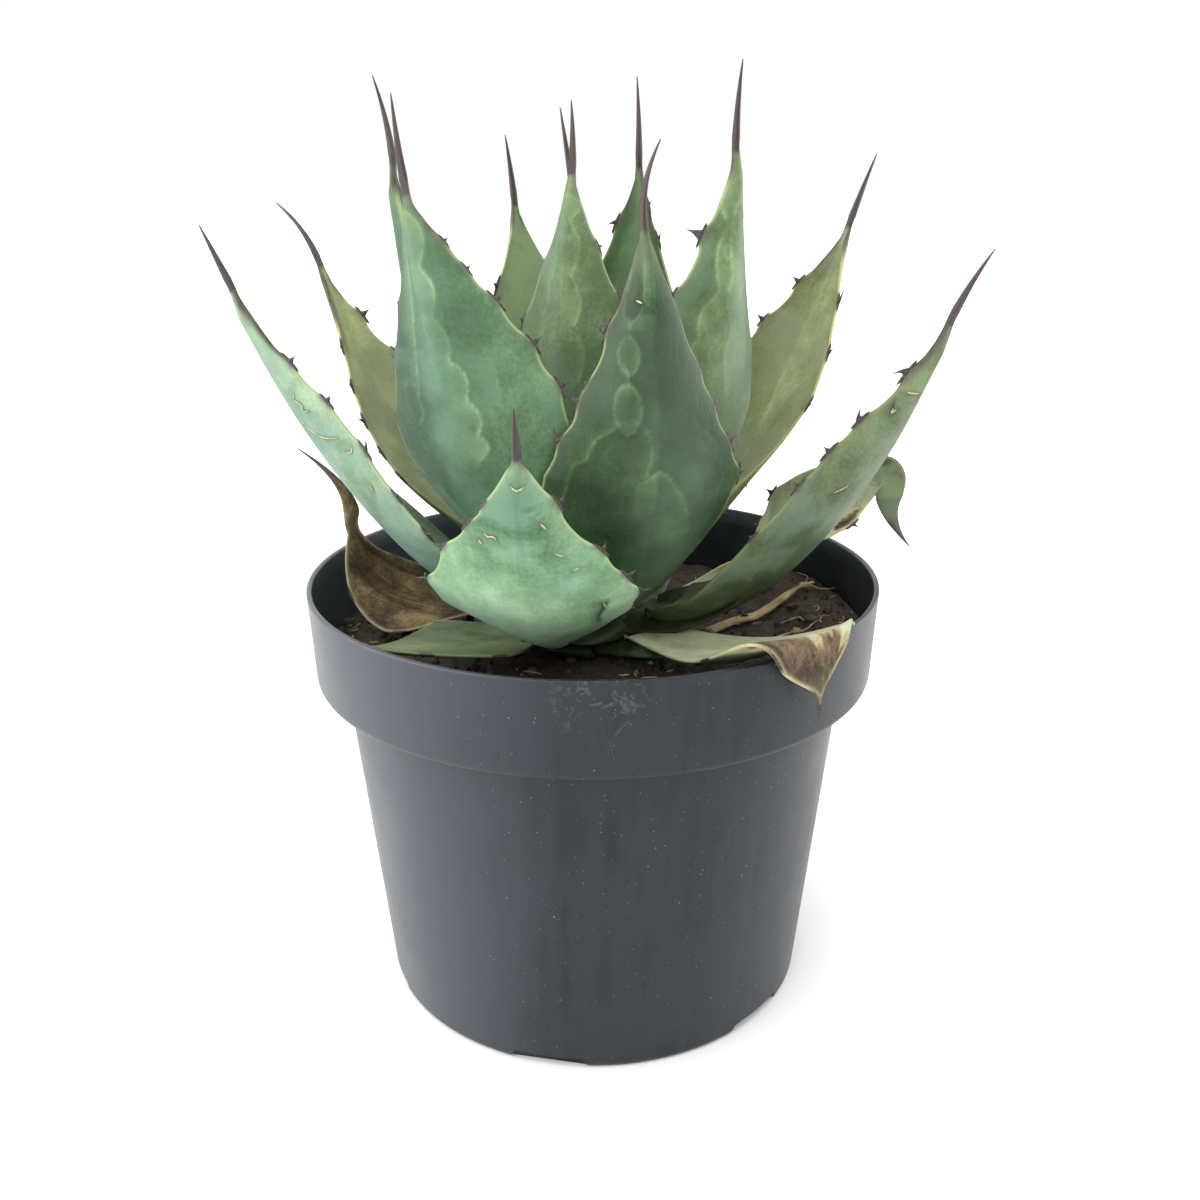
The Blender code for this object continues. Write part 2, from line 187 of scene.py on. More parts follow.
class Paint:  # a material in the making: each word adds one node and gives back its output
    def __init__(self, name, **shaderValues):
        self.material = bpy.data.materials.new(name)
        self.material.use_nodes = True
        self.tree = self.material.node_tree
        self.shader = self.tree.nodes["Principled BSDF"]
        for socket, value in shaderValues.items():
            self.shader.inputs[socket.replace("_", " ")].default_value = value
        self.place = self.add("TexCoord", output="Object")

    def add(self, kind, inputs={}, output=0, **options):
        return addNode(self.tree, kind, inputs, output, **options)

    def field(self, name, output="Fac"):
        return self.add("Attribute", output=output, attribute_name=name)

    def noise(self, scale, detail=2.0, roughness=0.5, distortion=0.0, space=None):
        return self.add("TexNoise", {"Vector": self.place if space is None else space, "Scale": scale,
                        "Detail": detail, "Roughness": roughness, "Distortion": distortion})

    def stretched(self, source, scale):
        return self.add("VectorMath", {0: source, 1: scale}, operation="MULTIPLY")

    def maths(self, operation, first, second, third=0.0, clamp=False):
        return self.add("Math", {0: first, 1: second, 2: third}, operation=operation, use_clamp=clamp)

    def weigh(self, total, *parts):  # adds each part times its weight
        for weight, part in parts:
            total = self.maths("MULTIPLY_ADD", part, weight, total)
        return total

    def span(self, source, low, high, toLow, toHigh):
        return self.add("MapRange", {0: source, 1: low, 2: high, 3: toLow, 4: toHigh})

    def mix(self, share, first, second):
        return self.add("Mix", {0: share, 6: first, 7: second}, 2, data_type="RGBA")

    def ramp(self, source, *stops):  # a stop's colour is a hex word or a grey value
        colours = self.add("ValToRGB", {0: source})
        elements = colours.node.color_ramp.elements
        while len(elements) < len(stops):
            elements.new(0.5)
        for element, (position, colour) in zip(elements, stops):
            element.position = position
            element.color = toLinear(colour) if isinstance(colour, str) else (colour,) * 3 + (1.0,)
        return colours

    def bump(self, height, strength, distance, under=None):
        inputs = {"Height": height, "Strength": strength, "Distance": distance}
        if under is not None:
            inputs["Normal"] = under
        return self.add("Bump", inputs)

    def finish(self, colour, rough=None, bump=None):
        for socket, source in (("Base Color", colour), ("Roughness", rough), ("Normal", bump)):
            if source is not None:
                self.tree.links.new(source, self.shader.inputs[socket])
        return self.material


skinFields = ("tone", "bloom", "mark", "rim", "horn", "dry", "cork")


def waxyLeafSkin(name, look):
    # Living agave skin under its own wax: a matt bloom that scatters, with a faint satin sheen.
    paint = Paint(name, IOR=1.45, Specular_IOR_Level=0.22, Subsurface_Weight=0.06,
                  Subsurface_Radius=(0.8, 1.0, 0.4), Subsurface_Scale=0.0015)
    tone, bloom, mark, rim, horn, dry, cork = map(paint.field, skinFields)
    alongBlade = paint.stretched(paint.field("grain", "Vector"), (1 / 1.2, 1 / 26.0, 1.0))
    fibre = paint.noise(1.0, 4.0, 0.55, space=alongBlade)
    mottle = paint.noise(perMm(16), 5.0, 0.62)
    drift = paint.noise(perMm(34), 4.0, distortion=0.8)
    speck = paint.noise(perMm(1.1), 3.0)
    # tone of the leaf, with a level and slopes that partly paint light and shade, carried by slow
    # mottling, fibres along the blade and a fine tissue grain
    shade = paint.weigh(tone, (0.95, mottle), (0.16, fibre), (0.36, speck))
    shade = paint.maths("SUBTRACT", shade, 0.735)
    colour = paint.ramp(shade, (0.1, look["deep"]), (0.5, look["body"]), (0.9, look["pale"]))
    colour = paint.mix(paint.span(drift, 0.5, 0.57, 0.0, 0.5), colour, look["cool"])
    # wax bloom, thicker and thinner with the mottling
    cloud = paint.span(mottle, 0.3, 0.7, 0.35, 1.0)
    colour = paint.mix(paint.maths("MULTIPLY", bloom, cloud, clamp=True), colour, look["bloom"])
    # dried tissue: papery brown with darker fibres
    dryShade = paint.maths("MULTIPLY", mottle, 0.69)
    dryShade = paint.weigh(dryShade, (0.15, fibre), (0.16, speck))
    dryColour = paint.ramp(dryShade, (0.4, look["dryDark"]), (0.5, look["dryBody"]),
                           (0.62, look["dryPale"]))
    colour = paint.mix(dry, colour, dryColour)
    # marks: pale imprints where the value is positive; dark creases, and the painted shade beside
    # imprints, where it is negative
    fading = paint.span(mottle, 0.42, 0.6, 0.35, 1.5)
    colour = paint.mix(paint.maths("MULTIPLY", mark, fading, clamp=True), colour, look["imprint"])
    colour = paint.mix(paint.maths("MULTIPLY", mark, -1.0, clamp=True), colour, look["creaseAndShade"])
    colour = paint.mix(paint.maths("MULTIPLY", rim, 0.65, clamp=True), colour, look["rim"])
    colour = paint.mix(cork, colour, paint.mix(speck, "#8a774c", "#d9cfa5"))
    hornColour = paint.ramp(fibre, (0.3, look["hornDark"]), (0.7, look["hornPale"]))
    colour = paint.mix(horn, colour, hornColour)
    # dry tissue is rougher in sheen and in relief
    rough = paint.span(mottle, 0.3, 0.7, look["satin"] - 0.06, look["satin"] + 0.08)
    rough = paint.weigh(rough, (0.3, dry))
    tissue = paint.weigh(speck, (0.6, fibre))
    strength = paint.maths("MULTIPLY_ADD", dry, 0.3, 0.16)
    dents = paint.bump(drift, 0.5, 0.0025)
    return paint.finish(colour, rough, paint.bump(tissue, strength, 0.0004, dents))


baseLook = dict(
    deep="#3b4d33", body="#586c4b", pale="#82936b", cool="#66796a", bloom="#7f9583",
    imprint="#93a57c", creaseAndShade="#2c3725", rim="#9dab74", dryDark="#221912", dryBody="#3d3025",
    dryPale="#75634b", hornDark="#262120", hornPale="#574e4a", satin=0.46)
# Some looks are lit and shaded copies: the shaded look is a darker copy, painted shade for leaves that
# lie in shade; the pale look with painted light and the folded look carry bodies lifted far paler,
# painted light for leaves whose shown face lies in shade.
looks = {
    "frosted": dict(deep="#466848", body="#7b9c78", pale="#abcaa6", cool="#86a892",
                    bloom="#a0bfb0", imprint="#abc69d", creaseAndShade="#3d5c44"),
    "deepGreen": dict(deep="#1c2a17", body="#31462d", pale="#4c6643", cool="#394c38",
                      bloom="#587059", imprint="#6c8763", creaseAndShade="#243020"),
    "seaGreen": dict(deep="#2c4530", body="#4a6549", pale="#6e8c6a", cool="#527059",
                     bloom="#6d8f79", imprint="#839f77"),
    "meadow": dict(deep="#33482a", body="#566b48", pale="#7f946b", cool="#587058",
                   bloom="#768f74", imprint="#8ba272"),
    "olive": dict(deep="#474f30", body="#6f794f", pale="#969e73", cool="#70795e",
                  bloom="#a1a886", imprint="#a9af84", creaseAndShade="#3d3f26", rim="#b5b27c"),
    "silver": dict(deep="#3d5a40", body="#758d6f", pale="#adc0a0", cool="#7d9a8a",
                   bloom="#84a59f", imprint="#b3c69d", creaseAndShade="#4a6a4c"),
    "shaded": dict(deep="#283120", body="#4b573c", pale="#727f5b", imprint="#808d66",
                   rim="#6e7b50"),
    "pallid": dict(deep="#4c5739", body="#b3b994", pale="#ccd0b0", cool="#9aa58c",
                   imprint="#b9bf9c"),
    "folded": dict(deep="#323e26", body="#b3b994", pale="#ccd0b0", cool="#6f7c62",
                   imprint="#b9bf9c"),
    "withered": dict(deep="#1f1911", body="#3d3222", pale="#655539", cool="#4b3d29",
                     bloom="#7b6a4a", imprint="#8a7750", creaseAndShade="#191209", rim="#8f8a80",
                     dryDark="#332c20", dryBody="#5a4c35", dryPale="#8c7a57", satin=0.6),
}
leafMaterials = {key: waxyLeafSkin("waxy_leaf_" + key, {**baseLook, **look})
                 for key, look in looks.items()}
print("leaf materials:", len(leafMaterials))


leafCommon = dict(
    halfWidth=30.0, neck=0.36, widest=0.46, taper=1.0, shares=(1.0, 1.0), cup=(14, 40),
    roll=(0, 0), thickness=(9.0, 3.6), spine=(26, 0, 0), flare=0.0, keel=1.8, corner=0.35,
    edgeShift=(), teethLeft=None, teethRight=None, bite=1.0, face="outer", detail="plain",
    skin="shaded", tone=(0.5, 0.0, 0.0), blooms=(), strokes=(), scars=(), hornReach=(0.93, 0.93),
    dryFrom=2.0, drySlope=0.0, dryPatches=(), pale=0.8)
detailGrids = {  # rows along the blade, columns on the face that shows, columns on the other
    "fine": (190, 92, 24), "middle": (150, 60, 22), "plain": (104, 36, 20)}


def line(points, width, strength, bumpHeight=0.0, bumps=0):  # negative strength: a dark crease
    return dict(points=points, width=width, strength=strength, bumpHeight=bumpHeight, bumps=bumps)


def oval(middle, size, width, strength):
    return dict(middle=middle, size=size, width=width, strength=strength, bumpHeight=0.0)


# A place on a leaf is a share of its length and a share of its half width, left of it negative.
# path: control points of the midrib as (out, sideways, height) at the azimuth
# cup, roll and thickness run from the foot to the tip; shares scale the left and right half
# edgeShift: where, shift of the left and the right edge and reach, in millimetres
# teeth: place along the margin, size and, if it hooks, which way
# tone: level, slope across and slope along, which partly paint light and shade; blooms: place, length,
# width and strength
# hornReach: how far down the horny margin runs on each side; dryPatches: place, length and width
leaves = {
    "leaf_front_low": dict(
        azimuth=-10, path=((23.2, 0, 149), (66, -8, 151), (88, -5, 168), (119, 1, 227)),
        halfWidth=31.5, widest=0.52, taper=0.8, roll=(0, -4), cup=(14, 22), spine=(14, 0, 0),
        corner=0.9, keel=1.3,
        edgeShift=((0.4, 1.5, 1.5, 11), (0.66, 2.2, 1.8, 9)),
        # the tone falling towards the tip is partly painted light: the low belly paler, the upright top
        # darker
        skin="frosted", detail="fine", tone=(0.58, 0.08, -0.58),
        teethLeft=((0.84, 0.5), (0.765, 0.8), (0.66, 0.6, -1), (0.51, 0.9), (0.4, 0.6)),
        teethRight=((0.845, 0.8, 1), (0.69, 0.8, 1), (0.575, 0.9), (0.485, 0.9), (0.38, 0.6)),
        hornReach=(0.955, 0.955),
        blooms=((0.42, -0.45, 22, 14, 0.3), (0.26, 0.1, 10, 28, 0.9), (0.62, 0.5, 10, 8, 0.3)),
        strokes=(
            line(((0.86, -0.1), (0.7, -0.08), (0.5, 0.0), (0.35, 0.05)), 1.6, 0.25),
            line(((0.9, 0.1), (0.85, 0.0), (0.78, 0.05)), 7.0, -0.7),
            line(((0.62, 0.0), (0.55, 0.25), (0.42, 0.3)), 1.5, 0.3, 1.4, 3),
            line(((0.7, -0.75), (0.55, -0.62), (0.4, -0.6)), 1.3, 0.3, 1.6, 3),
            line(((0.5, 0.72), (0.44, 0.66), (0.4, 0.7)), 1.1, -2.0),
            oval((0.4, -0.25), (7, 4), 1.2, 0.22)),
        scars=(((0.765, -0.68), (0.759, -0.6), (0.764, -0.5), (0.758, -0.42)),
               ((0.738, -0.72), (0.73, -0.64)), ((0.815, 0.48), (0.795, 0.54)),
               ((0.72, 0.5), (0.705, 0.6)), ((0.655, 0.62), (0.66, 0.7)),
               ((0.922, 0.35), (0.916, 0.0), (0.922, -0.3)),
               ((0.51, 0.68), (0.47, 0.72)))),
    "leaf_front_tall": dict(
        azimuth=12, path=((20.0, 0, 158), (56, 1, 155), (88, 3, 208), (66, 1, 281)),
        halfWidth=31.5, widest=0.50, taper=1.2, corner=1.0, spine=(22, -8, 16), keel=1.35,
        skin="deepGreen", detail="fine", tone=(0.43, 0.0, 0.0),
        teethLeft=((0.805, 1.3), (0.7, 0.5), (0.665, 0.8), (0.58, 0.9, 1), (0.45, 0.7)),
        teethRight=((0.83, 0.4), (0.725, 0.8), (0.645, 0.8), (0.56, 0.9), (0.485, 0.8)),
        hornReach=(0.83, 0.9),
        blooms=((0.585, 0.05, 9, 6, 0.45), (0.505, 0.45, 10, 7, 0.5), (0.43, 0.15, 12, 9, 0.4),
                (0.3, 0.5, 18, 12, 0.45), (0.22, -0.1, 13, 9, 0.35), (0.7, -0.65, 16, 4, 0.25)),
        strokes=(
            line(((0.94, -0.75), (0.885, -0.82), (0.835, -0.7), (0.818, -0.5), (0.835, -0.3),
                      (0.87, -0.22), (0.94, -0.3)), 0.9, 0.75),
            oval((0.755, -0.44), (5.4, 2.9), 0.9, 0.6),
            oval((0.655, -0.33), (7.2, 3.8), 0.9, 0.6),
            line(((0.818, -0.5), (0.803, -0.47), (0.79, -0.45)), 0.9, 0.5),
            line(((0.73, -0.42), (0.71, -0.36), (0.695, -0.34)), 0.9, 0.5),
            line(((0.615, -0.45), (0.59, -0.62), (0.55, -0.66), (0.53, -0.76), (0.45, -0.8)),
             1.2, 0.6),
            line(((0.635, -0.22), (0.615, -0.07), (0.57, 0.0), (0.53, -0.04)), 1.2, 0.5),
            line(((0.52, -0.05), (0.535, 0.08), (0.515, 0.2), (0.46, 0.36), (0.41, 0.45)),
             1.2, 0.6),
            line(((0.96, -0.05), (0.8, 0.02), (0.6, 0.06), (0.4, 0.04), (0.2, 0.0)),
             2.4, 0.22),
            line(((0.6, 0.7), (0.5, 0.75), (0.38, 0.7)), 1.1, 0.3, 1.2, 3)),
        scars=(((0.856, -0.42), (0.85, -0.25)),)),
    "leaf_left_tall": dict(
        azimuth=-20, path=((14.0, -3, 166), (58, -8, 165), (84, -13, 216), (75, -29, 291)),
        halfWidth=32, neck=0.2, widest=0.55, taper=0.85, shares=(0.82, 1.0),
        # the tone's slope across paints shade on the left half, which is turned away from the light
        spine=(25, 0, 2), skin="seaGreen", detail="fine", tone=(0.38, 0.24, -0.04), keel=1.4,
        edgeShift=((0.87, -2.0, 0.5, 12), (0.72, 0.0, 2.5, 22)),
        teethLeft=((0.8, 0.6), (0.7, 0.7), (0.58, 0.7), (0.45, 0.5)),
        teethRight=((0.895, 0.5), (0.84, 0.5), (0.775, 0.8), (0.685, 0.9),
                    (0.595, 0.9), (0.5, 0.8)),
        hornReach=(0.93, 0.9),
        blooms=((0.84, -0.1, 16, 3, 0.4), (0.7, -0.1, 20, 5, 0.45), (0.55, -0.1, 16, 6, 0.4),
                (0.36, 0.1, 16, 12, 0.65), (0.22, 0.3, 12, 10, 0.6)),
        strokes=(
            line(((0.95, 0.3), (0.84, 0.12), (0.735, 0.12), (0.645, 0.2), (0.56, 0.22),
                      (0.5, 0.2)), 1.0, 1.0, 2.2, 6),
            line(((0.9, -0.3), (0.805, -0.25), (0.72, -0.3), (0.635, -0.35)), 0.8, 0.6),
            oval((0.62, -0.5), (7, 4.5), 1.0, 0.4),
            line(((0.7, 0.6), (0.6, 0.5), (0.52, 0.55)), 1.2, 0.25, 1.4, 2))),
    "leaf_left_inner": dict(
        azimuth=-95, path=((12.3, 0, 165), (38, 0, 172), (60, 0, 220), (66, 0, 298)),
        halfWidth=27, neck=0.25, spine=(26, -7, 0), skin="seaGreen", face="inner"),
    "leaf_left_back": dict(
        azimuth=-115, path=((19.2, 0, 155), (40, 0, 162), (84, 0, 195), (112, 0, 262)),
        halfWidth=25, neck=0.3, widest=0.42, roll=(0, 24), spine=(27, -26, 0), skin="olive",
        detail="middle", face="inner", tone=(0.74, 0.0, 0.0),
        teethLeft=((0.835, 1.0), (0.71, 0.8), (0.6, 0.8)),
        teethRight=((0.775, 0.7, -1), (0.67, 0.8), (0.575, 0.9), (0.48, 0.7), (0.4, 0.6)),
        hornReach=(0.9, 0.84),
        strokes=(line(((0.93, 0.55), (0.86, 0.6), (0.76, 0.75)), 1.0, -0.7),
                 line(((0.93, 0.2), (0.85, 0.25), (0.78, 0.45)), 1.6, 0.6),
                 line(((0.8, 0.0), (0.6, 0.05), (0.4, 0.0)), 1.6, 0.25))),
    "leaf_left_low": dict(
        azimuth=-83, path=((22.9, 0, 149), (46, 0, 150), (88, 0, 186), (119, 0, 260)),
        halfWidth=29, neck=0.5, widest=0.36, taper=0.9, roll=(0, -31), cup=(14, 30),
        spine=(20, 0, 0), skin="silver", detail="fine", tone=(0.48, 0.05, 0.1),
        teethLeft=((0.74, 0.7), (0.6, 0.7), (0.45, 0.7)),
        teethRight=((0.8, 0.9), (0.69, 0.9), (0.56, 0.9, 1), (0.44, 0.7), (0.33, 0.8)),
        hornReach=(0.93, 0.8),
        blooms=((0.26, 0.2, 18, 16, 1.6), (0.62, 0.2, 20, 6, 0.4)),
        strokes=(line(((0.9, 0.5), (0.75, 0.3), (0.55, 0.4), (0.4, 0.3)), 1.4, 0.3, 1.0, 4),
                 line(((0.5, 0.85), (0.44, 0.55), (0.36, 0.5)), 2.0, -0.35),),
        scars=(((0.735, 0.5), (0.725, 0.35), (0.71, 0.48), (0.695, 0.42), (0.69, 0.55)),
               ((0.69, 0.0), (0.665, 0.15), (0.63, 0.4), (0.61, 0.75)),
               ((0.58, 0.88), (0.57, 0.8), (0.575, 0.7)),
               ((0.43, 0.3), (0.425, 0.38)), ((0.49, 0.75), (0.47, 0.72)))),
    "leaf_right_low": dict(
        azimuth=63, path=((24.1, 0, 149), (53, 0, 147), (91, 0, 182), (121, 0, 253.5)),
        halfWidth=26, neck=0.58, widest=0.44, roll=(0, 23), cup=(14, 30), spine=(22, -4, 3),
        # the tone's slope along paints shade on the low part of the leaf
        skin="shaded", detail="fine", tone=(0.5, -0.15, 0.25), edgeShift=((0.22, 5.0, 0.0, 30),),
        teethLeft=((0.865, 1.1, -1), (0.74, 1.0, 1), (0.655, 0.8), (0.565, 0.7), (0.42, 0.6)),
        teethRight=((0.78, 0.5), (0.6, 0.5), (0.525, 0.6), (0.42, 0.7)),
        hornReach=(0.86, 0.93),
        blooms=((0.7, -0.1, 24, 7, 0.35), (0.5, 0.0, 14, 8, 0.3)),
        strokes=(line(((0.88, -0.3), (0.76, -0.2), (0.6, -0.3), (0.45, -0.2)), 1.4, 0.3, 1.0, 4),
                 line(((0.55, -0.62), (0.53, -0.5)), 1.0, -0.7),
                 line(((0.8, -0.72), (0.795, -0.66)), 1.6, -0.9)),
        scars=(((0.83, -0.6), (0.835, -0.1)), ((0.58, -0.5), (0.61, -0.3)),
               ((0.79, -0.66), (0.78, -0.6), (0.79, -0.55)))),
    "leaf_right_folded": dict(
        azimuth=99, path=((23.8, 0, 141), (60, 0, 143), (115, 0, 214), (112, 0, 179)),
        halfWidth=16, widest=0.6, taper=0.55, roll=(65, -85), thickness=(6, 3),
        # the high tone level and the folded look paint light on a face that lies in shade; the tone
        # falls steeply to the tip
        spine=(18, 20, 24), skin="folded", detail="middle", face="inner", tone=(0.8, 0.0, -1.0),
        dryPatches=((0.7, -1.0, 7, 4.0), (0.3, -1.0, 24, 1.3)), flare=4.5,
        teethLeft=((0.695, 0.8), (0.5, 0.6)), teethRight=((0.455, 0.8), (0.56, 0.9)),
        hornReach=(0.8, 0.8)),
    "leaf_right_inner": dict(
        azimuth=40, path=((10.9, 0, 167), (40, 4, 176), (56, 9, 230), (44, 22, 302)),
        halfWidth=31, neck=0.2, widest=0.42, spine=(26, 0, 4), skin="meadow", detail="fine",
        tone=(0.55, 0.12, -0.1),
        teethLeft=((0.81, 1.4), (0.68, 0.9), (0.56, 0.8), (0.44, 0.7)),
        teethRight=((0.74, 0.5), (0.6, 0.7), (0.46, 0.7)),
        blooms=((0.72, 0.25, 24, 5, 0.7), (0.58, 0.2, 16, 7, 0.5)),
        strokes=(
            line(((0.93, -0.3), (0.83, -0.4), (0.7, -0.3), (0.6, -0.45), (0.5, -0.4)),
             1.0, 0.9, -2.4, 4),
            line(((0.9, 0.1), (0.735, -0.05), (0.625, 0.05), (0.5, 0.1)), 1.0, 0.7, -1.8, 3),
            line(((0.9, 0.3), (0.75, 0.35), (0.6, 0.45)), 1.2, 0.4),
            oval((0.78, -0.25), (2.2, 1.2), 0.7, 0.5), oval((0.66, -0.2), (1.6, 1.0), 0.6, 0.5),
            oval((0.7, 0.2), (1.8, 0.9), 0.6, 0.5))),
    "leaf_centre_front": dict(
        azimuth=-20, path=((4.1, 0, 178), (20, 0, 192), (24, 0, 240), (12, -2, 295)),
        halfWidth=24, neck=0.25, widest=0.42, taper=0.75, thickness=(6, 3.5),
        spine=(21, 0, -3), skin="meadow", detail="fine", tone=(0.55, -0.1, 0.02),
        teethLeft=((0.75, 0.5), (0.6, 1.0), (0.47, 0.8)),
        teethRight=((0.8, 0.5), (0.66, 0.7), (0.5, 0.8)),
        blooms=((0.75, -0.3, 16, 4, 0.3),),
        strokes=(
            line(((0.93, 0.12), (0.86, 0.08), (0.72, 0.1), (0.59, 0.12), (0.45, 0.16)),
             1.0, 0.85, 2.6, 4),
            line(((0.86, 0.04), (0.845, 0.12)), 0.8, -0.9),
            line(((0.72, 0.06), (0.705, 0.13)), 0.8, -0.9),
            line(((0.59, 0.1), (0.575, 0.17)), 0.8, -0.9),
            line(((0.88, -0.3), (0.7, -0.45), (0.55, -0.5)), 0.9, 0.35, 1.2, 4))),
    "leaf_right_back": dict(
        azimuth=115, path=((18.8, 0, 155), (40, 0, 161), (74, 0, 198), (105, 0, 276)),
        halfWidth=23, neck=0.2, widest=0.58, roll=(0, -22), spine=(25, -2, 0), skin="olive",
        detail="middle", face="inner", tone=(0.48, -0.1, 0.04),
        teethLeft=((0.805, 1.0, 1), (0.68, 0.9), (0.55, 0.8)),
        teethRight=((0.825, 0.9), (0.71, 0.9), (0.6, 0.9), (0.485, 0.8),
                    (0.44, 0.5), (0.38, 0.6)),
        hornReach=(0.92, 0.86),
        strokes=(line(((0.85, 0.1), (0.6, 0.05), (0.45, -0.1), (0.3, -0.15)), 1.8, 0.5),
                 line(((0.93, 0.35), (0.88, 0.4), (0.82, 0.55)), 1.0, -0.8),
                 line(((0.62, -0.7), (0.58, -0.45), (0.5, -0.3)), 0.9, -0.35),
                 line(((0.55, -0.6), (0.5, -0.4), (0.42, -0.3)), 0.9, -0.3))),
    "leaf_centre_left": dict(
        azimuth=-152, path=((10.1, 0, 166), (30, 0, 178), (48, 0, 225), (50, 5, 284)),
        halfWidth=27, neck=0.22, widest=0.5, taper=0.85, spine=(22, 0, 2), skin="meadow",
        detail="middle", face="inner", tone=(0.92, 0.0, 0.1),
        teethLeft=((0.78, 0.7), (0.62, 0.8), (0.47, 0.7)),
        teethRight=((0.77, 0.9), (0.62, 0.9), (0.47, 0.7)),
        strokes=(line(((0.9, 0.1), (0.7, 0.15), (0.5, 0.2)), 1.3, 0.3, 1.4, 3),)),
    "leaf_centre_right": dict(
        azimuth=157, path=((7.8, 0, 171), (26, 0, 184), (44, 0, 236), (44, 0, 297)),
        halfWidth=23, neck=0.25, widest=0.5, taper=0.85, spine=(28, 0, 2), skin="deepGreen",
        detail="middle", face="inner", tone=(0.88, 0.2, 0.1),
        teethLeft=((0.89, 0.6), (0.8, 0.7, 1), (0.62, 0.8), (0.48, 0.7)),
        teethRight=((0.84, 0.8, -1), (0.68, 0.9), (0.5, 0.7)), hornReach=(0.8, 0.86)),
    "leaf_rim_left": dict(
        azimuth=-40, path=((23.8, 0, 141), (56, -4, 144), (80, -10, 147), (91, -22, 148.5)),
        halfWidth=22, cup=(5, 5), thickness=(5, 3), spine=(5, 0, 0), skin="shaded",
        detail="middle", face="inner", tone=(0.62, 0.0, 0.0), bite=0.4,
        teethLeft=((0.75, 0.3), (0.5, 0.3)), teethRight=((0.75, 0.3), (0.5, 0.3)),
        strokes=(line(((0.9, 0.0), (0.6, 0.1), (0.3, 0.0)), 2.0, 0.3),)),
    "leaf_rim_right": dict(
        azimuth=39, path=((23.9, 0, 141), (60, 0, 141), (96, -1, 144), (105, -3, 172),
                          (113, -4, 172), (108, 2, 140)),
        halfWidth=22, widest=0.76, roll=(0, 6), cup=(4, 4), thickness=(6, 2.2), spine=(6, 0, 0),
        skin="pallid", detail="fine", face="inner", tone=(0.53, 0.0, 0.0), bite=0.5,
        edgeShift=((0.42, 4.5, 4.5, 38),), dryFrom=0.75, drySlope=0.065,
        teethLeft=((0.8, 0.4), (0.58, 0.3)), teethRight=((0.84, 0.4), (0.58, 0.3)),
        strokes=(line(((0.56, -0.6), (0.45, -0.2), (0.3, 0.0)), 1.6, 0.3),)),
    "leaf_dead": dict(
        azimuth=-98, path=((23.8, 0, 139), (58, 0, 143), (88, 0, 142), (90, 0, 175)),
        halfWidth=25, neck=0.14, widest=0.55, roll=(0, 44), cup=(6, 8), shares=(0.5, 1.0),
        thickness=(2.5, 1.6), spine=(24, -32, 24), flare=2.0, skin="withered", detail="middle",
        face="inner", dryFrom=-1.0, pale=0.35, bite=0.4, teethLeft=((0.7, 0.4), (0.5, 0.3)),
        teethRight=((0.72, 0.4), (0.5, 0.3)),
        strokes=(line(((0.8, -0.2), (0.6, -0.1), (0.35, 0.0)), 1.6, 0.4),
                 line(((0.97, 0.2), (0.85, -0.3), (0.68, -0.55), (0.45, -0.6)), 2.6, -1.0),
                 line(((0.75, 0.5), (0.55, 0.4), (0.4, 0.6)), 2.0, -0.9))),
    "leaf_back": dict(
        azimuth=175, path=((19.3, 0, 156), (46, 0, 161), (80, 0, 196), (100, 0, 252)),
        halfWidth=28, spine=(20, 0, 0), skin="seaGreen"),
    "leaf_back_left": dict(
        azimuth=-148, path=((23.6, 0, 145), (52, 0, 146), (82, 0, 176), (100, 0, 226)),
        halfWidth=27, neck=0.3, spine=(20, 0, 0), skin="silver"),
    "leaf_back_right": dict(
        azimuth=146, path=((23.1, 0, 145), (52, 0, 148), (84, 0, 184), (98, 0, 236)),
        halfWidth=27, neck=0.3, spine=(20, 0, 0), skin="shaded"),
    "leaf_bud": dict(
        azimuth=180, path=((0, 0, 186), (0, 0, 205), (2, 0, 250), (4, 6, 288)),
        halfWidth=8, widest=0.4, cup=(20, 40), thickness=(10, 3), spine=(26, 0, 0),
        teethLeft=(), teethRight=(), skin="meadow", bite=0.0),
}


blade = dict(  # shares of a leaf's length, and lengths in millimetres
    neckEnd=0.08, narrowest=1.2, cornerPower=1.1, curveSteps=1500, step=0.008, marginHalf=0.3,
    marginRound=0.22, footShare=0.07, footNarrow=0.93, footDip=0.7, thinningPace=1.1,
    bodyLimit=(0.5, 1.3), crowd=0.55, ripple=0.22, imprintRelief=0.13)
freeEdge = dict(  # drawn in between the teeth, swollen under them and slightly waved
    hollow=0.5, hollowFrom=0.25, hollowTo=0.9, hollowFade=0.1, swell=1.9, swellSpan=4.0, belt=0.7,
    wave=0.5, waveSpan=9.0, waveBelt=0.45, waveFades=(0.2, 0.12))


def halfWidth(leaf, s):
    left = np.clip((1.0 - s) / (1.0 - leaf["widest"]), 0.0, 1.0)
    beyond = smooth(left) ** leaf["taper"]
    # straight sides meet in a corner
    beyond = beyond + (left ** blade["cornerPower"] - beyond) * leaf["corner"]
    rise = smooth((s - blade["neckEnd"]) / (leaf["widest"] - blade["neckEnd"]))
    share = np.where(s > leaf["widest"], beyond, leaf["neck"] + (1.0 - leaf["neck"]) * rise)
    return np.maximum(leaf["halfWidth"] * share, blade["narrowest"] + leaf["flare"])


def leafCurve(leaf):
    out, side = heading(leaf["azimuth"])
    control = [o * out + a * side + z * upwards for o, a, z in leaf["path"]]
    curve = bezier(control, np.linspace(0.0, 1.0, blade["curveSteps"] + 1))
    steps = np.linalg.norm(np.diff(curve, axis=0), axis=1)
    share = np.concatenate(([0.0], np.cumsum(steps)))
    return curve, share / share[-1], share[-1], side


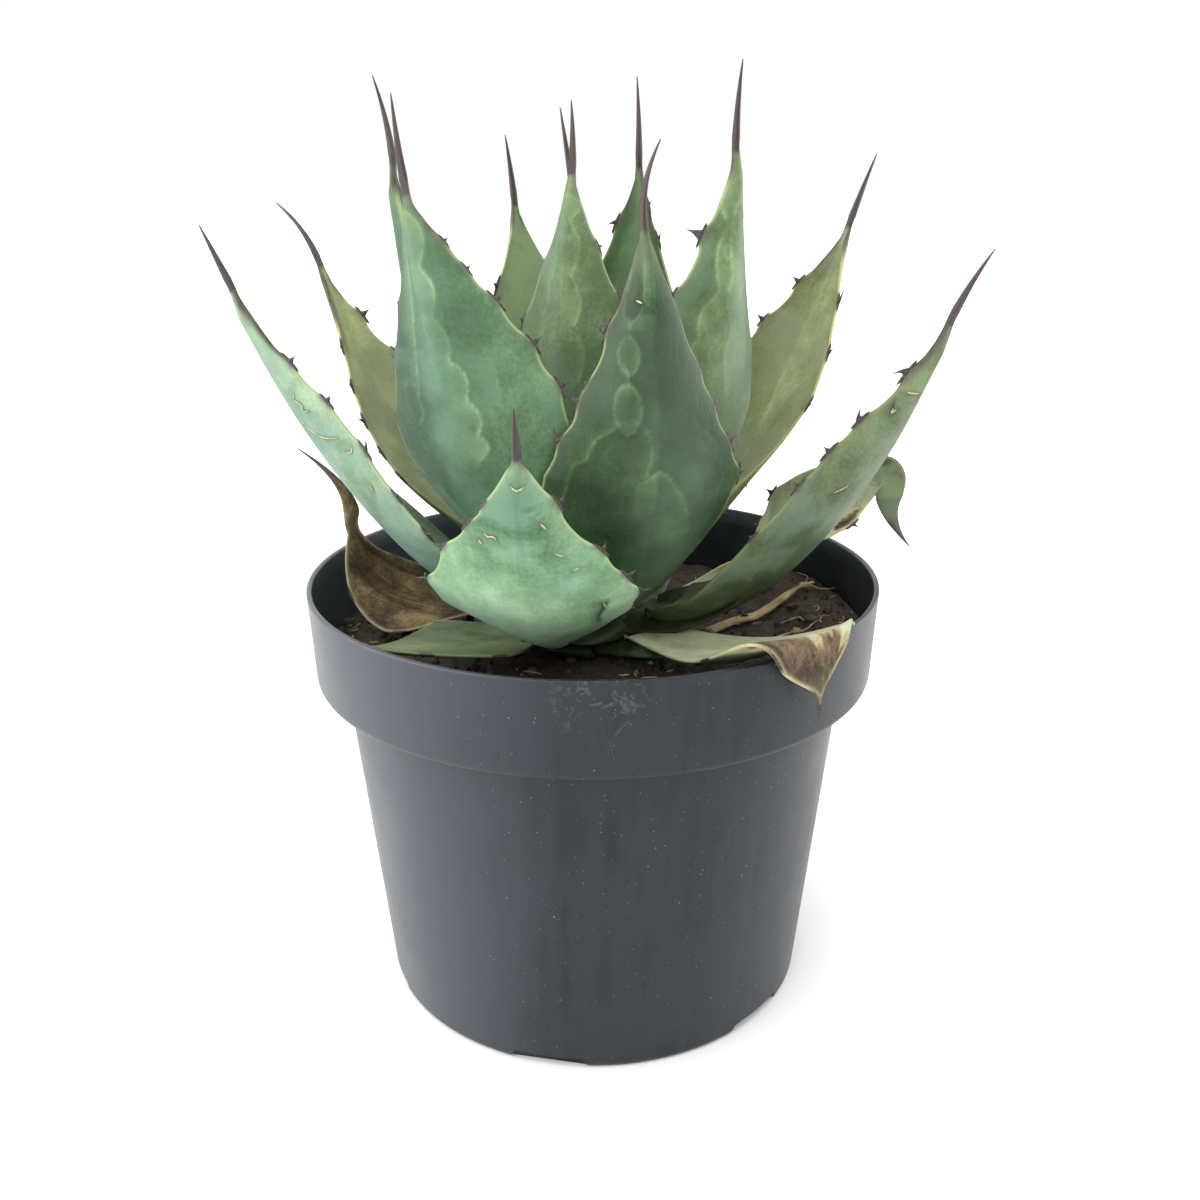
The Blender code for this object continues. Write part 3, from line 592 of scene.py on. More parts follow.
def leafFrames(leaf, s):  # midrib point, direction, inner-side normal and sideways vector
    curve, share, _, side = leaf["curve"]

    def at(where):
        where = np.clip(where, 0.0, 1.0)
        return np.stack([np.interp(where, share, curve[:, i]) for i in range(3)], -1)

    tangent = unit(at(s + blade["step"]) - at(s - blade["step"]))
    across = unit(side - tangent * (tangent @ side)[:, None])
    normal = np.cross(tangent, across)
    roll = np.radians(between(leaf["roll"], smooth(s)))[:, None]
    return (at(s), tangent, normal * np.cos(roll) + across * np.sin(roll),
            across * np.cos(roll) - normal * np.sin(roll))


def edgeSwell(leaf, s, u):  # how far the free edge stands out past the plain blade
    length, fade = leaf["curve"][2], freeEdge["hollowFade"]
    swell = -freeEdge["hollow"] * leaf["bite"] * smooth((s - freeEdge["hollowFrom"]) / fade)
    swell *= smooth((freeEdge["hollowTo"] - s) / fade)
    for side in ("teethLeft", "teethRight"):
        onSide = u < 0 if side == "teethLeft" else u > 0
        for where, size, _ in leaf[side]:
            hump = np.exp(-((s - where) * length / freeEdge["swellSpan"]) ** 2)
            swell += onSide * hump * leaf["bite"] * freeEdge["swell"] * min(size, 1.0)
    for where, onLeft, onRight, reach in leaf["edgeShift"]:
        swell += np.exp(-((s - where) * length / reach) ** 2) * np.where(u < 0, onLeft, onRight)
    return swell


def column(values):
    return values[:, None]


def skinPoints(leaf, s, u, inner, lift=0.0):  # points of a blade face and their outward direction
    s, u = np.broadcast_arrays(np.asarray(s, float), np.asarray(u, float))
    centre, tangent, normal, across = leafFrames(leaf, s)
    cup = np.radians(between(leaf["cup"], smooth(s)))
    sign, reach = np.sign(u), np.abs(u)
    turn = cup * reach
    base = halfWidth(leaf, s)
    foot = np.clip(1.0 - s / blade["footShare"], 0, 1)  # the blade slopes down into its sheath
    wide = base * np.where(u < 0, *leaf["shares"]) * np.sqrt(1.0 - blade["footNarrow"] * foot ** 2)
    full = between(leaf["thickness"], smooth(s * blade["thinningPace"]))
    margin = 2 * blade["marginHalf"]
    body = margin + (full - 2 * margin) * (1.0 - reach ** leaf["keel"])
    body = np.minimum(body, blade["bodyLimit"][0] + blade["bodyLimit"][1] * base)
    sideways = np.sin(turn) / cup * wide * sign
    rise = (1.0 - np.cos(turn)) / cup * wide
    facing = across * column(-np.sin(turn) * sign) + normal * column(np.cos(turn))
    if inner:
        rise = rise + blade["marginHalf"] - blade["footDip"] * full * smooth(foot)
        points = centre + across * column(sideways) + normal * column(rise)
    else:
        points = centre + across * column(sideways) + normal * column(rise) - facing * column(body)
        facing = -facing
    edge = across * column(sign * np.cos(cup)) + normal * column(np.sin(cup))
    belt = smooth((reach - freeEdge["belt"]) / (1.0 - freeEdge["belt"]))
    points = points + edge * column(edgeSwell(leaf, s, u) * belt)
    ripple = np.sin(s * leaf["curve"][2] / freeEdge["waveSpan"] + leaf["phase"] + sign)
    belt = smooth((reach - freeEdge["waveBelt"]) / (1.0 - freeEdge["waveBelt"]))
    belt = belt * smooth(s / freeEdge["waveFades"][0]) * smooth((1 - s) / freeEdge["waveFades"][1])
    points = points + normal * column(freeEdge["wave"] * leaf["bite"] * ripple * belt)
    return points + facing * column(np.broadcast_to(lift, s.shape)), facing


imprint = dict(  # how a stroke shows: a line, pale in the hollow of its scallops, with painted shade along its outer side
    width=0.6, strength=0.62, core=0.6, hollow=0.5, hollowSpan=8.0, paintedShade=0.3, paintedShadeSpan=2.5)


def strokePath(leaf, stroke):  # in millimetres across and along
    length = leaf["curve"][2]
    if "middle" in stroke:
        (s, u), (along, wide) = stroke["middle"], stroke["size"]
        turn = np.linspace(0, fullTurn, 37)
        middle = np.array((u * halfWidth(leaf, s), s * length))
        return middle + np.stack((wide * np.sin(turn), along * np.cos(turn)), -1)
    points = np.array(stroke["points"], float)
    flat = np.stack((points[:, 1] * halfWidth(leaf, points[:, 0]), points[:, 0] * length), -1)
    path = softPath(flat, 12)
    if stroke["bumps"]:
        scallops = np.abs(np.sin(math.pi * stroke["bumps"] * np.linspace(0, 1, len(path))))
        path = path + crossing(path) * (stroke["bumpHeight"] * scallops)[:, None]
    return path


def strokeField(leaf, strokes, x, y):
    field = np.zeros(len(x))
    for stroke in strokes:
        path = strokePath(leaf, stroke)
        width, strength = stroke["width"] * imprint["width"], stroke["strength"] * imprint["strength"]
        low, high = path.min(0) - 4 * width, path.max(0) + 4 * width
        near = np.flatnonzero((x > low[0]) & (x < high[0]) & (y > low[1]) & (y < high[1]))
        if not len(near):
            continue
        start, run = path[:-1], np.diff(path, axis=0)
        dx = x[near, None] - start[:, 0]
        dy = y[near, None] - start[:, 1]
        along = np.clip((dx * run[:, 0] + dy * run[:, 1]) / (run ** 2).sum(1), 0, 1)
        distance = np.hypot(dx - along * run[:, 0], dy - along * run[:, 1])
        nearest = distance.argmin(1)
        row = np.arange(len(near))
        side = run[nearest, 0] * dy[row, nearest] - run[nearest, 1] * dx[row, nearest]
        side = -side if stroke["bumpHeight"] < 0 else side
        distance = distance[row, nearest] / width
        core = imprint["core"] * np.exp(-distance ** 2)
        hollow = imprint["hollow"] * np.exp(-distance / imprint["hollowSpan"]) * (side < 0)
        # painted shade along the outer side of a pale imprint line
        paintedShade = imprint["paintedShade"] * np.exp(-distance / imprint["paintedShadeSpan"]) * (side > 0)
        field[near] += strength * (core + hollow) - max(strength, 0.0) * paintedShade
    return field


def looseImprints(count):  # faint scalloped prints that the neighbours left in the bud
    strokes = []
    for k in range(count):
        lean = draw.uniform(0.25, 0.6) * (-1) ** k
        top, foot = draw.uniform(0.8, 0.9), draw.uniform(0.3, 0.5)
        points = ((top, lean * 0.6), ((top + foot) / 2, lean), (foot, lean * 0.9))
        strokes.append(line(points, draw.uniform(0.9, 1.4), draw.uniform(0.2, 0.35),
                            draw.uniform(1.0, 1.8), int(draw.integers(3, 6))))
    return tuple(strokes)


def looseTeeth(rows):
    return [(s + draw.uniform(-0.015, 0.015), draw.uniform(0.7, 1.0), int(draw.integers(-1, 2)))
            for s in rows]


tooth = dict(  # a hooked flat cone on a long horny cushion; pairs are a base and a share of size
    height=4.2, sink=0.25, cushionLength=(2.2, 4.2), cushionRadii=(0.62, 0.5), cushionLift=0.1,
    cushionHorn=0.92, coneFrom=0.35, hook=0.75, coneFoot=(0.2, 1.5), coneDepth=(0.1, 0.6))
cushionRings, cushionSides, coneRings, coneSides = 9, 8, 8, 9


def toothBlocks(leaf, s, side, size, hook):
    near = s + blade["step"] * np.array((-1, 0, 1))
    root = sum(skinPoints(leaf, near, np.full(3, float(side)), inner)[0] for inner in (True, False)) / 2
    along = unit(root[2] - root[0])
    _, _, normal, across = leafFrames(leaf, np.array([s]))
    cup = math.radians(between(leaf["cup"], float(smooth(s))))
    outward = across[0] * side * math.cos(cup) + normal[0] * math.sin(cup)
    outward = unit(outward - along * (outward @ along))
    flat = np.cross(along, outward)
    root = root[1] - outward * tooth["sink"]
    t = np.linspace(-1, 1, cushionRings)
    reach = between(tooth["cushionLength"], size) * draw.uniform(0.85, 1.2)
    bulge = np.sqrt(np.clip(1 - t * t, 0.004, 1))
    wide, deep = (radius * bulge for radius in tooth["cushionRadii"])
    blocks = [tubeBlock(
        root + outward * tooth["cushionLift"] + np.outer(t * reach, along), wide, deep, outward,
        cushionSides, horn=np.full(cushionRings, tooth["cushionHorn"]),
        grain=np.zeros((cushionRings, cushionSides, 3)) + 3.0 * t[:, None, None])]
    if size < tooth["coneFrom"]:
        return blocks
    t = np.linspace(0, 1, coneRings)
    height = tooth["height"] * size
    bend = hook * tooth["hook"] * along + draw.uniform(-0.15, 0.25) * flat
    path = root + height * (np.outer(t, outward) + np.outer(t ** 2, bend))
    wide = between(tooth["coneFoot"], size) * (1 - t) ** 2 + 0.16 * (1 - t) + 0.04
    deep = between(tooth["coneDepth"], size) * (1 - t) ** 0.9 + 0.05
    blocks.append(tubeBlock(path, wide, deep, along, coneSides, horn=np.ones(coneRings),
                            grain=np.zeros((coneRings, coneSides, 3)) + 5.0 * t[:, None, None]))
    return blocks


scar = dict(halfWidth=0.34, height=0.45, lift=0.05, sides=6, lumps=0.35, stroke=1.3)


def scarBlock(leaf, points):  # a healed scratch: a low corky welt on the skin
    path = softPath(points, 7)
    welt, facing = skinPoints(leaf, path[:, 0], path[:, 1], leaf["face"] == "inner", scar["lift"])
    t = np.linspace(0, 1, len(welt))
    wide = scar["halfWidth"] * np.clip(np.sin(math.pi * t), 0.12, 1) ** 0.5
    wide = wide * (1 + scar["lumps"] * np.sin(t * 23.0 + points[0][0] * 50))
    return tubeBlock(welt, scar["height"] * wide, wide, facing, scar["sides"],
                     cork=np.ones(len(welt)), grain=np.zeros((len(welt), scar["sides"], 3)))


spineRings = 14
spineTip = 0.16
spineKinds = {  # a full terminal spine, and the stub of the lowest leaves
    "full": dict(radius=1.2, roundFrom=0.94, foot=1.0, tip=1.0),
    "stub": dict(radius=0.6, roundFrom=0.97, foot=0.6, tip=0.7)}


def spineKind(leaf):
    return spineKinds["stub" if leaf["spine"][0] < 8 else "full"]


def closeIntoSpine(leaf, s, rings, angles):  # rounds the end of the blade and adds the spine
    kind, flare = spineKind(leaf), leaf["flare"]
    centre, tangent, normal, across = leafFrames(leaf, s)

    def roundRing(middle, radius, sideAxis, topAxis):
        return middle + radius * (np.cos(angles)[:, None] * sideAxis + np.sin(angles)[:, None] * topAxis)

    for k in np.flatnonzero(s > kind["roundFrom"]):
        share = float(smooth((s[k] - kind["roundFrom"]) / (1 - kind["roundFrom"])))
        wide = across[k] * (1 + flare / kind["radius"])
        circle = roundRing(centre[k], kind["radius"], wide, normal[k])
        rings[k] = rings[k] * (1 - share) + circle * share
    length, bendUp, bendSide = leaf["spine"]
    lean = normal[-1] * math.tan(math.radians(bendUp)) + across[-1] * math.tan(math.radians(bendSide))
    tips = []
    for t in np.arange(1, spineRings + 1) / spineRings:
        run = unit(tangent[-1] + 2 * lean * t)
        sideAxis = unit(across[-1] - run * (across[-1] @ run))
        middle = centre[-1] + length * (tangent[-1] * t + lean * t * t)
        radius = kind["radius"] * (1 - t) ** 0.85 + spineTip
        wide = sideAxis * (1 + flare / radius * (1 - t) ** 1.5)
        tips.append(roundRing(middle, radius, wide, np.cross(run, sideAxis)))
    return np.concatenate((rings, np.array(tips)), 0)


horny = dict(  # dark horn: the spine's foot, the margin below it and the cushions of the teeth
    footFrom=0.972, footFade=0.014, band=0.9, bandWidth=0.75, bandFrom=-0.03, bandFade=0.05,
    cushion=0.85, cushionLength=(1.6, 3.0), cushionWidth=(0.45, 0.85), flareEdge=0.3,
    flareFrom=0.35, flareFade=0.25)


def hornField(leaf, s, u, gap):
    length = leaf["curve"][2]
    horn = smooth((s - horny["footFrom"]) / horny["footFade"]) * spineKind(leaf)["foot"]
    for side, teeth, reach in zip((-1, 1), (leaf["teethLeft"], leaf["teethRight"]), leaf["hornReach"]):
        onSide = np.sign(u) == side
        band = smooth((s - reach - horny["bandFrom"]) / horny["bandFade"])
        band = horny["band"] * band * np.exp(-(gap / horny["bandWidth"]) ** 2)
        horn = np.maximum(horn, band * onSide)
        for where, size, _ in teeth:
            along = (s - where) * length / between(horny["cushionLength"], size)
            inwards = gap / between(horny["cushionWidth"], size)
            horn = np.maximum(horn, horny["cushion"] * np.exp(-along ** 4 - inwards ** 2) * onSide)
    if leaf["flare"]:  # the leaf's own flesh runs on into a flared spine
        horn = horn * smooth(1 - gap / horny["flareEdge"])
    return np.clip(horn, 0, 1)


withering = dict(  # the end of a leaf dries along a ragged line, and patches dry on their own
    fade=0.025, waves=((0.02, 7.3, 1.3), (0.012, 17.7, 0.4), (0.008, 41.0, 2.0)),
    patch=1.6, patchFrom=0.3, patchFade=0.5, patchLumps=0.4, corkEdge=1.1, corkLine=0.02)


def dryFields(leaf, s, u, x, y, gap):  # withered tissue, and the pale cork along its edges
    length = leaf["curve"][2]
    ragged = sum(high * np.sin(u * pace + start) for high, pace, start in withering["waves"])
    into = s - leaf["dryFrom"] - leaf["drySlope"] * u - ragged
    dry = smooth(into / withering["fade"])
    lumps = 1.0 + withering["patchLumps"] * np.sin(x * 1.7 + y * 0.9) * np.sin(y * 1.3)
    for where, side, along, wide in leaf["dryPatches"]:
        middle = side * halfWidth(leaf, where)
        patch = np.exp(-((s - where) * length / along) ** 4 - ((x - middle) / wide) ** 2)
        patch = withering["patch"] * patch * lumps - withering["patchFrom"]
        dry = np.maximum(dry, smooth(patch / withering["patchFade"]))
    edges = np.maximum(np.exp(-(gap / withering["corkEdge"]) ** 2),
                       np.exp(-(into / withering["corkLine"] - 1) ** 2))
    return dry, leaf["pale"] * dry * edges


def spread(v):  # columns crowd towards the margins
    crowded = np.sin(math.pi / 2 * np.abs(v))
    return np.sign(v) * between((np.abs(v), crowded), blade["crowd"])


def leafBlocks(leaf):
    rows, shownCount, hiddenCount = detailGrids[leaf["detail"]]
    innerShown = leaf["face"] == "inner"
    innerCount, outerCount = (shownCount, hiddenCount) if innerShown else (hiddenCount, shownCount)
    length, phase = leaf["curve"][2], leaf["phase"]
    rowS = np.linspace(0, 1, rows)
    innerU = spread(np.linspace(-1, 1, innerCount))
    outerU = spread(np.linspace(1, -1, outerCount))
    s, u = np.meshgrid(rowS, np.concatenate((innerU, [1.0], outerU, [-1.0])), indexing="ij")
    x, y = u * halfWidth(leaf, s), s * length
    gap = (1 - np.abs(u)) * halfWidth(leaf, s)
    innerColumns, outerColumns = slice(0, innerCount), slice(innerCount + 1, -1)
    # the face that shows has its own imprints
    shown = np.zeros(s.shape, bool)
    shown[:, innerColumns if innerShown else outerColumns] = True
    mark = np.zeros(s.shape)
    for part, strokes in ((shown, leaf["strokes"]), (~shown, leaf["imprints"])):
        mark[part] = strokeField(leaf, strokes, x[part], y[part])
    ripple = np.sin(u * 5.0 + s * 9.0 + phase) * smooth((1 - np.abs(u)) / 0.3) * smooth((0.95 - s) / 0.3)
    relief = blade["imprintRelief"] * mark + blade["ripple"] * ripple
    faces = []
    for inner, columns, faceU in ((True, innerColumns, innerU), (False, outerColumns, outerU)):
        points, _ = skinPoints(leaf, np.repeat(rowS, len(faceU)), np.tile(faceU, rows), inner,
                               relief[:, columns].ravel())
        faces.append(points.reshape(rows, len(faceU), 3))
    innerPoints, outerPoints = faces
    right = (innerPoints[:, -1] + outerPoints[:, 0]) / 2
    left = (innerPoints[:, 0] + outerPoints[:, -1]) / 2
    past = unit(right - left) * blade["marginRound"]
    rings = np.concatenate(
        (innerPoints, (right + past)[:, None], outerPoints, (left - past)[:, None]), 1)
    angles = math.pi * np.concatenate((
        1 - (np.arange(innerCount) + 0.5) / innerCount, [0.0],
        -(np.arange(outerCount) + 0.5) / outerCount, [1.0]))
    rings = closeIntoSpine(leaf, rowS, rings, angles)
    # what the material reads
    bloom = np.zeros(s.shape)
    for where, side, along, wide, strength in leaf["blooms"]:
        middle = side * halfWidth(leaf, where)
        bloom += strength * np.exp(-((s - where) * length / along) ** 2 - ((x - middle) / wide) ** 2)
    # each leaf's tone level and slopes paint part of its light and shade, besides its own paler and
    # darker parts
    base, acrossTone, alongTone = leaf["tone"]
    tone = base + acrossTone * u + alongTone * (2 * s - 1) + 0.05 * np.sin(u * 3.1 + s * 5.0 + phase)
    # the pale line of the margin, and a faint paling of the tip
    rim = np.exp(-(gap / 0.5) ** 2) * smooth((s - 0.1) / 0.1) + 0.2 * smooth((s - 0.86) / 0.1)
    dry, cork = dryFields(leaf, s, u, x, y, gap)
    steps = (np.arange(1, spineRings + 1) / spineRings)[:, None]
    fleshEnds = smooth((steps - horny["flareFrom"]) / horny["flareFade"])
    spineHorn = fleshEnds if leaf["flare"] else spineKind(leaf)["tip"]
    spineShape = (spineRings, len(angles))

    def extend(values, last):  # carries a field on over the spine
        return np.concatenate((values, np.broadcast_to(np.asarray(last, float), spineShape)), 0)

    grain = np.concatenate((
        grainField(s.shape, x, y, phase * 7.0),
        grainField(spineShape, np.cos(angles) * 1.5, length + steps * leaf["spine"][0], phase * 7.0)))
    blocks = [ringBlock(
        rings, tone=extend(tone, tone[-1:]), bloom=extend(bloom, 0.0), mark=extend(mark, 0.0),
        rim=extend(rim, 0.0), horn=extend(hornField(leaf, s, u, gap), spineHorn),
        dry=extend(dry, dry[-1:]), cork=extend(cork, 0.0), grain=grain)]
    for side, teeth in ((-1, leaf["teethLeft"]), (1, leaf["teethRight"])):
        for where, size, hook in teeth:
            blocks += toothBlocks(leaf, where, side, size, hook)
    blocks += [scarBlock(leaf, points) for points in leaf["scars"]]
    return blocks


for index, (name, settings) in enumerate(leaves.items()):
    leaf = {**leafCommon, **settings, "phase": index * 1.7}
    leaf["curve"] = leafCurve(leaf)
    leaf["imprints"] = looseImprints(2)
    if not leaf["strokes"] and name != "leaf_bud":
        leaf["strokes"] = looseImprints(3)
    leaf["strokes"] += tuple(line(points, scar["stroke"], -1.0) for points in leaf["scars"])
    for side in ("teethLeft", "teethRight"):
        given = leaf[side]
        leaf[side] = (looseTeeth((0.8, 0.68, 0.56, 0.44, 0.33)) if given is None
                      else [(*place, 0)[:3] for place in given])
    addPiece(name + "_skin", leafBlocks(leaf), leafMaterials[leaf["skin"]], name)
print("leaves:", len(leaves))


# The feet take the shaded look at a low tone: painted shade in the heart of the rosette under the low
# leaves.
sheath = dict(start=-0.09, drop=3.0, steps=18, sides=28, sag=0.12, tone=0.12, phase=3.0)
sheathKinds = {  # reach along the blade, half width at the stem and half thickness at both ends
    "outer": dict(reach=0.24, halfWidth=17.0, thickness=(5.5, 0.8)),
    "inner": dict(reach=0.16, halfWidth=11.0, thickness=(5.0, 1.0))}
lowerRing = ("leaf_front_low", "leaf_left_low", "leaf_right_low", "leaf_back_left",
             "leaf_back_right", "leaf_rim_left", "leaf_rim_right")


def sheathBlock(leaf, kind):  # the broad foot with which a leaf clasps the stem
    t = np.linspace(0, 1, sheath["steps"])
    s = between((sheath["start"], kind["reach"]), t)
    length = leaf["curve"][2]
    centre, tangent, normal, across = leafFrames(leaf, np.maximum(s, 0.0))
    centre = centre + tangent * (np.minimum(s, 0.0) * length)[:, None]
    middle = centre - normal * (0.5 * leaf["thickness"][0] + sheath["drop"] * (1 - t))[:, None]
    wide = between((kind["halfWidth"], 0.6 * halfWidth(leaf, np.maximum(s, 0.0))), t)[:, None]
    deep = between(kind["thickness"], t)[:, None]
    turn = np.linspace(0, fullTurn, sheath["sides"], endpoint=False)
    sideways = wide * np.cos(turn)
    lift = deep * np.sin(turn) - sheath["sag"] * wide * np.cos(turn) ** 2
    rings = middle[:, None] + across[:, None] * sideways[..., None] + normal[:, None] * lift[..., None]
    return ringBlock(rings, tone=sheath["tone"],
                     grain=grainField(lift.shape, sideways, (s * length)[:, None], leaf["phase"]))


feet = []
for name in leaves:
    if name in ("leaf_bud", "leaf_dead"):
        continue
    leaf = {**leafCommon, **leaves[name], "phase": sheath["phase"]}
    leaf["curve"] = leafCurve(leaf)
    feet.append(sheathBlock(leaf, sheathKinds["outer" if name in lowerRing else "inner"]))
addPiece("clasping_leaf_feet", feet, leafMaterials["shaded"], None)


def woodyStem():
    # Short stem between the leaf bases: matt and fibrous, in a dark green-brown kept darker as painted
    # shade under the low leaves.
    paint = Paint("stem_tissue")
    fibre = paint.noise(perMm(1.5), 4.0, space=paint.stretched(paint.place, (1.0, 1.0, 0.15)))
    colour = paint.ramp(fibre, (0.3, "#1c2317"), (0.7, "#38442c"))
    rough = paint.span(fibre, 0.0, 1.0, 0.65, 0.85)
    return paint.finish(colour, rough, paint.bump(fibre, 0.4, 0.0006))


stemMaterial = woodyStem()
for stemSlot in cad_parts["stem"].material_slots:
    stemSlot.material = stemMaterial


soil = dict(
    side=((75.6, 6.3), (77.4, 7.4), (88.6, 120.6), (88.9, 124.1), (98.3, 125.9)),
    edgeRadius=98.4, edgeTop=129.6, centreTop=132.0, heapHeight=8.0, heapAzimuth=98.0,
    heapSpread=50.0, heapRadii=(62.0, 90.0), rings=78, segments=288, middleRadius=0.4,
    clod=7.0, clodHeight=1.02, grit=1.9, gritHeight=0.75, settle=0.3)


def soilHeight(x, y, rough=True):
    radius = math.hypot(x, y)
    azimuth = math.degrees(math.atan2(x, -y))
    inner, outer = soil["heapRadii"]
    away = abs((azimuth - soil["heapAzimuth"] + 180.0) % 360.0 - 180.0)
    heap = smooth(1.7 * (1.0 - away / soil["heapSpread"])) * smooth((radius - inner) / (outer - inner))
    level = between((soil["centreTop"], soil["edgeTop"]), radius / soil["edgeRadius"])
    level += soil["heapHeight"] * float(heap)
    if rough:
        level += soil["clodHeight"] * noise.fractal(Vector((x, y, 3.0)) / soil["clod"], 0.8, 2.1, 4)
        level += soil["gritHeight"] * noise.noise(Vector((x, y, 9.0)) / soil["grit"]) - soil["settle"]
    return level


def soilSkin(name, dark, pale, flecks):
    # Peat and bark compost: nearly black and matt, with grit and a few pale fibres.
    paint = Paint(name, Roughness=0.95)
    lump = paint.noise(perMm(5), 6.0, 0.7)
    grit = paint.noise(perMm(0.9), 4.0)
    shade = paint.weigh(lump, (0.6, paint.field("tone")))
    colour = paint.ramp(shade, (0.35, dark), (0.75, pale), (0.923, flecks))
    colour = paint.mix(paint.ramp(grit, (0.66, 0.0), (0.72, 0.7)), colour, flecks)
    return paint.finish(colour, bump=paint.bump(grit, 0.7, 0.0008))


def planPoint(radius, turn):
    return radius * np.sin(turn), -radius * np.cos(turn)


def circlePoints(radius, count, height):
    x, y = planPoint(radius, np.linspace(0, fullTurn, count, endpoint=False))
    z = [height(a, b) for a, b in zip(x, y)] if callable(height) else np.full(count, height)
    return np.stack((x, y, z), -1)


def soilBlock():
    rings = [circlePoints(radius, soil["segments"], z) for radius, z in soil["side"]]
    radii = soil["edgeRadius"] * (1 - np.linspace(0, 1, soil["rings"]) ** 1.05)
    rings += [circlePoints(max(radius, soil["middleRadius"]), soil["segments"], soilHeight)
              for radius in radii]
    return ringBlock(rings)


ball = [Vector(v).normalized() for v in (
    (0, 0, 1), (0.89, 0, 0.45), (0.28, 0.85, 0.45), (-0.72, 0.53, 0.45), (-0.72, -0.53, 0.45),
    (0.28, -0.85, 0.45), (0.72, 0.53, -0.45), (-0.28, 0.85, -0.45), (-0.89, 0, -0.45),
    (-0.28, -0.85, -0.45), (0.72, -0.53, -0.45), (0, 0, -1))]
ballFaces = (
    (0, 1, 2), (0, 2, 3), (0, 3, 4), (0, 4, 5), (0, 5, 1), (1, 6, 2), (2, 7, 3), (3, 8, 4),
    (4, 9, 5), (5, 10, 1), (6, 7, 2), (7, 8, 3), (8, 9, 4), (9, 10, 5), (10, 6, 1),
    (11, 7, 6), (11, 8, 7), (11, 9, 8), (11, 10, 9), (11, 6, 10))


def splitBall():  # the twenty faces once divided, for crumbs and pebbles
    points, faces, middle = list(ball), [], {}
    for face in ballFaces:
        halves = []
        for a, b in zip(face, face[1:] + face[:1]):
            key = tuple(sorted((a, b)))
            if key not in middle:
                middle[key] = len(points)
                points.append((points[a] + points[b]).normalized())
            halves.append(middle[key])
        a, b, c = face
        ab, bc, ca = halves
        faces += [[a, ab, ca], [b, bc, ab], [c, ca, bc], [ab, bc, ca]]
    return np.array(points), faces


crumbPoints, crumbFaces = splitBall()
crumbs = dict(count=820, sizes=(0.5, 2.3), smallBias=2.6, reach=(26.0, 96.5), paleShare=0.07,
              paleTone=0.75, tones=(-0.2, 0.3), stretch=(0.55, 1.25), lumps=0.28, lift=0.25)
litter = dict(count=110, sizes=(2.5, 8.0), reach=(40.0, 95.0), wall=96.0, curl=0.6, lift=(1.1, 1.6),
              widths=(0.16, 0.42), taper=(0.3, 0.8, 1, 1, 1, 0.8, 0.3), tones=(0.4, 1.0))


def scatterPoint(reach):  # a random place on the ring between two radii
    radius = math.sqrt(draw.uniform(reach[0] ** 2, reach[1] ** 2))
    return planPoint(radius, draw.uniform(0, fullTurn))


def crumbBlock():
    x, y = scatterPoint(crumbs["reach"])
    size = between(crumbs["sizes"], draw.random() ** crumbs["smallBias"])
    pale = draw.random() < crumbs["paleShare"]
    tone = crumbs["paleTone"] if pale else draw.uniform(*crumbs["tones"])
    stretch = draw.uniform(*crumbs["stretch"], 3)
    lumps = 1 + crumbs["lumps"] * draw.standard_normal(len(crumbPoints)).clip(-1.4, 1.4)[:, None]
    turn = Matrix.Rotation(draw.uniform(0, 6.28), 3, Vector(draw.standard_normal(3)))
    shape = (crumbPoints * lumps * stretch * size) @ np.array(turn)
    middle = np.array((x, y, soilHeight(x, y) + crumbs["lift"] * size))
    return dict(points=shape + middle, faces=crumbFaces,
                values={"tone": np.full(len(crumbPoints), tone)})


def sliverBlock():  # a short pale fibre or sliver of bark on the surface
    plan = [np.array(scatterPoint(litter["reach"]))]
    aim = draw.uniform(0, fullTurn)
    curl = draw.uniform(-litter["curl"], litter["curl"])
    step = draw.uniform(*litter["sizes"]) / (len(litter["taper"]) - 1)
    while len(plan) < len(litter["taper"]):
        aim += curl * 0.5
        plan.append(plan[-1] + step * np.array((math.cos(aim), math.sin(aim))))
    plan = [p * min(1.0, litter["wall"] / np.linalg.norm(p)) for p in plan]
    path = [(x, y, soilHeight(x, y, False) + draw.uniform(*litter["lift"])) for x, y in plan]
    wide = np.array(litter["taper"]) * draw.uniform(*litter["widths"])
    return tubeBlock(path, wide, wide * 0.7, upwards, 6,
                     tone=np.full(len(path), draw.uniform(*litter["tones"])))


peat = soilSkin("peat_compost", "#241e18", "#483b2f", "#85725a")
bark = soilSkin("bark_crumbs", "#2b241d", "#57493a", "#a89674")
addPiece("potting_soil_body", [soilBlock()], peat, "soil")
looseBits = [crumbBlock() for _ in range(crumbs["count"])]
looseBits += [sliverBlock() for _ in range(litter["count"])]
addPiece("soil_crumbs", looseBits, bark, None)
print("soil and crumbs")


def driedRootSkin():
    # A withered root: tan, stringy and matt, darker in the furrows between its fibres.
    paint = Paint("dried_root_fibre")
    alongRoot = paint.stretched(paint.field("grain", "Vector"), (1 / 0.5, 1 / 9.0, 1.0))
    fibre = paint.noise(1.0, 4.0, space=alongRoot)
    stain = paint.noise(perMm(6), 3.0)
    shade = paint.weigh(fibre, (0.6, stain))
    colour = paint.ramp(shade, (0.5, "#584729"), (0.75, "#978258"), (0.95, "#c4b289"))
    rough = paint.span(stain, 0.0, 1.0, 0.75, 0.95)
    return paint.finish(colour, rough, paint.bump(fibre, 0.6, 0.0005))


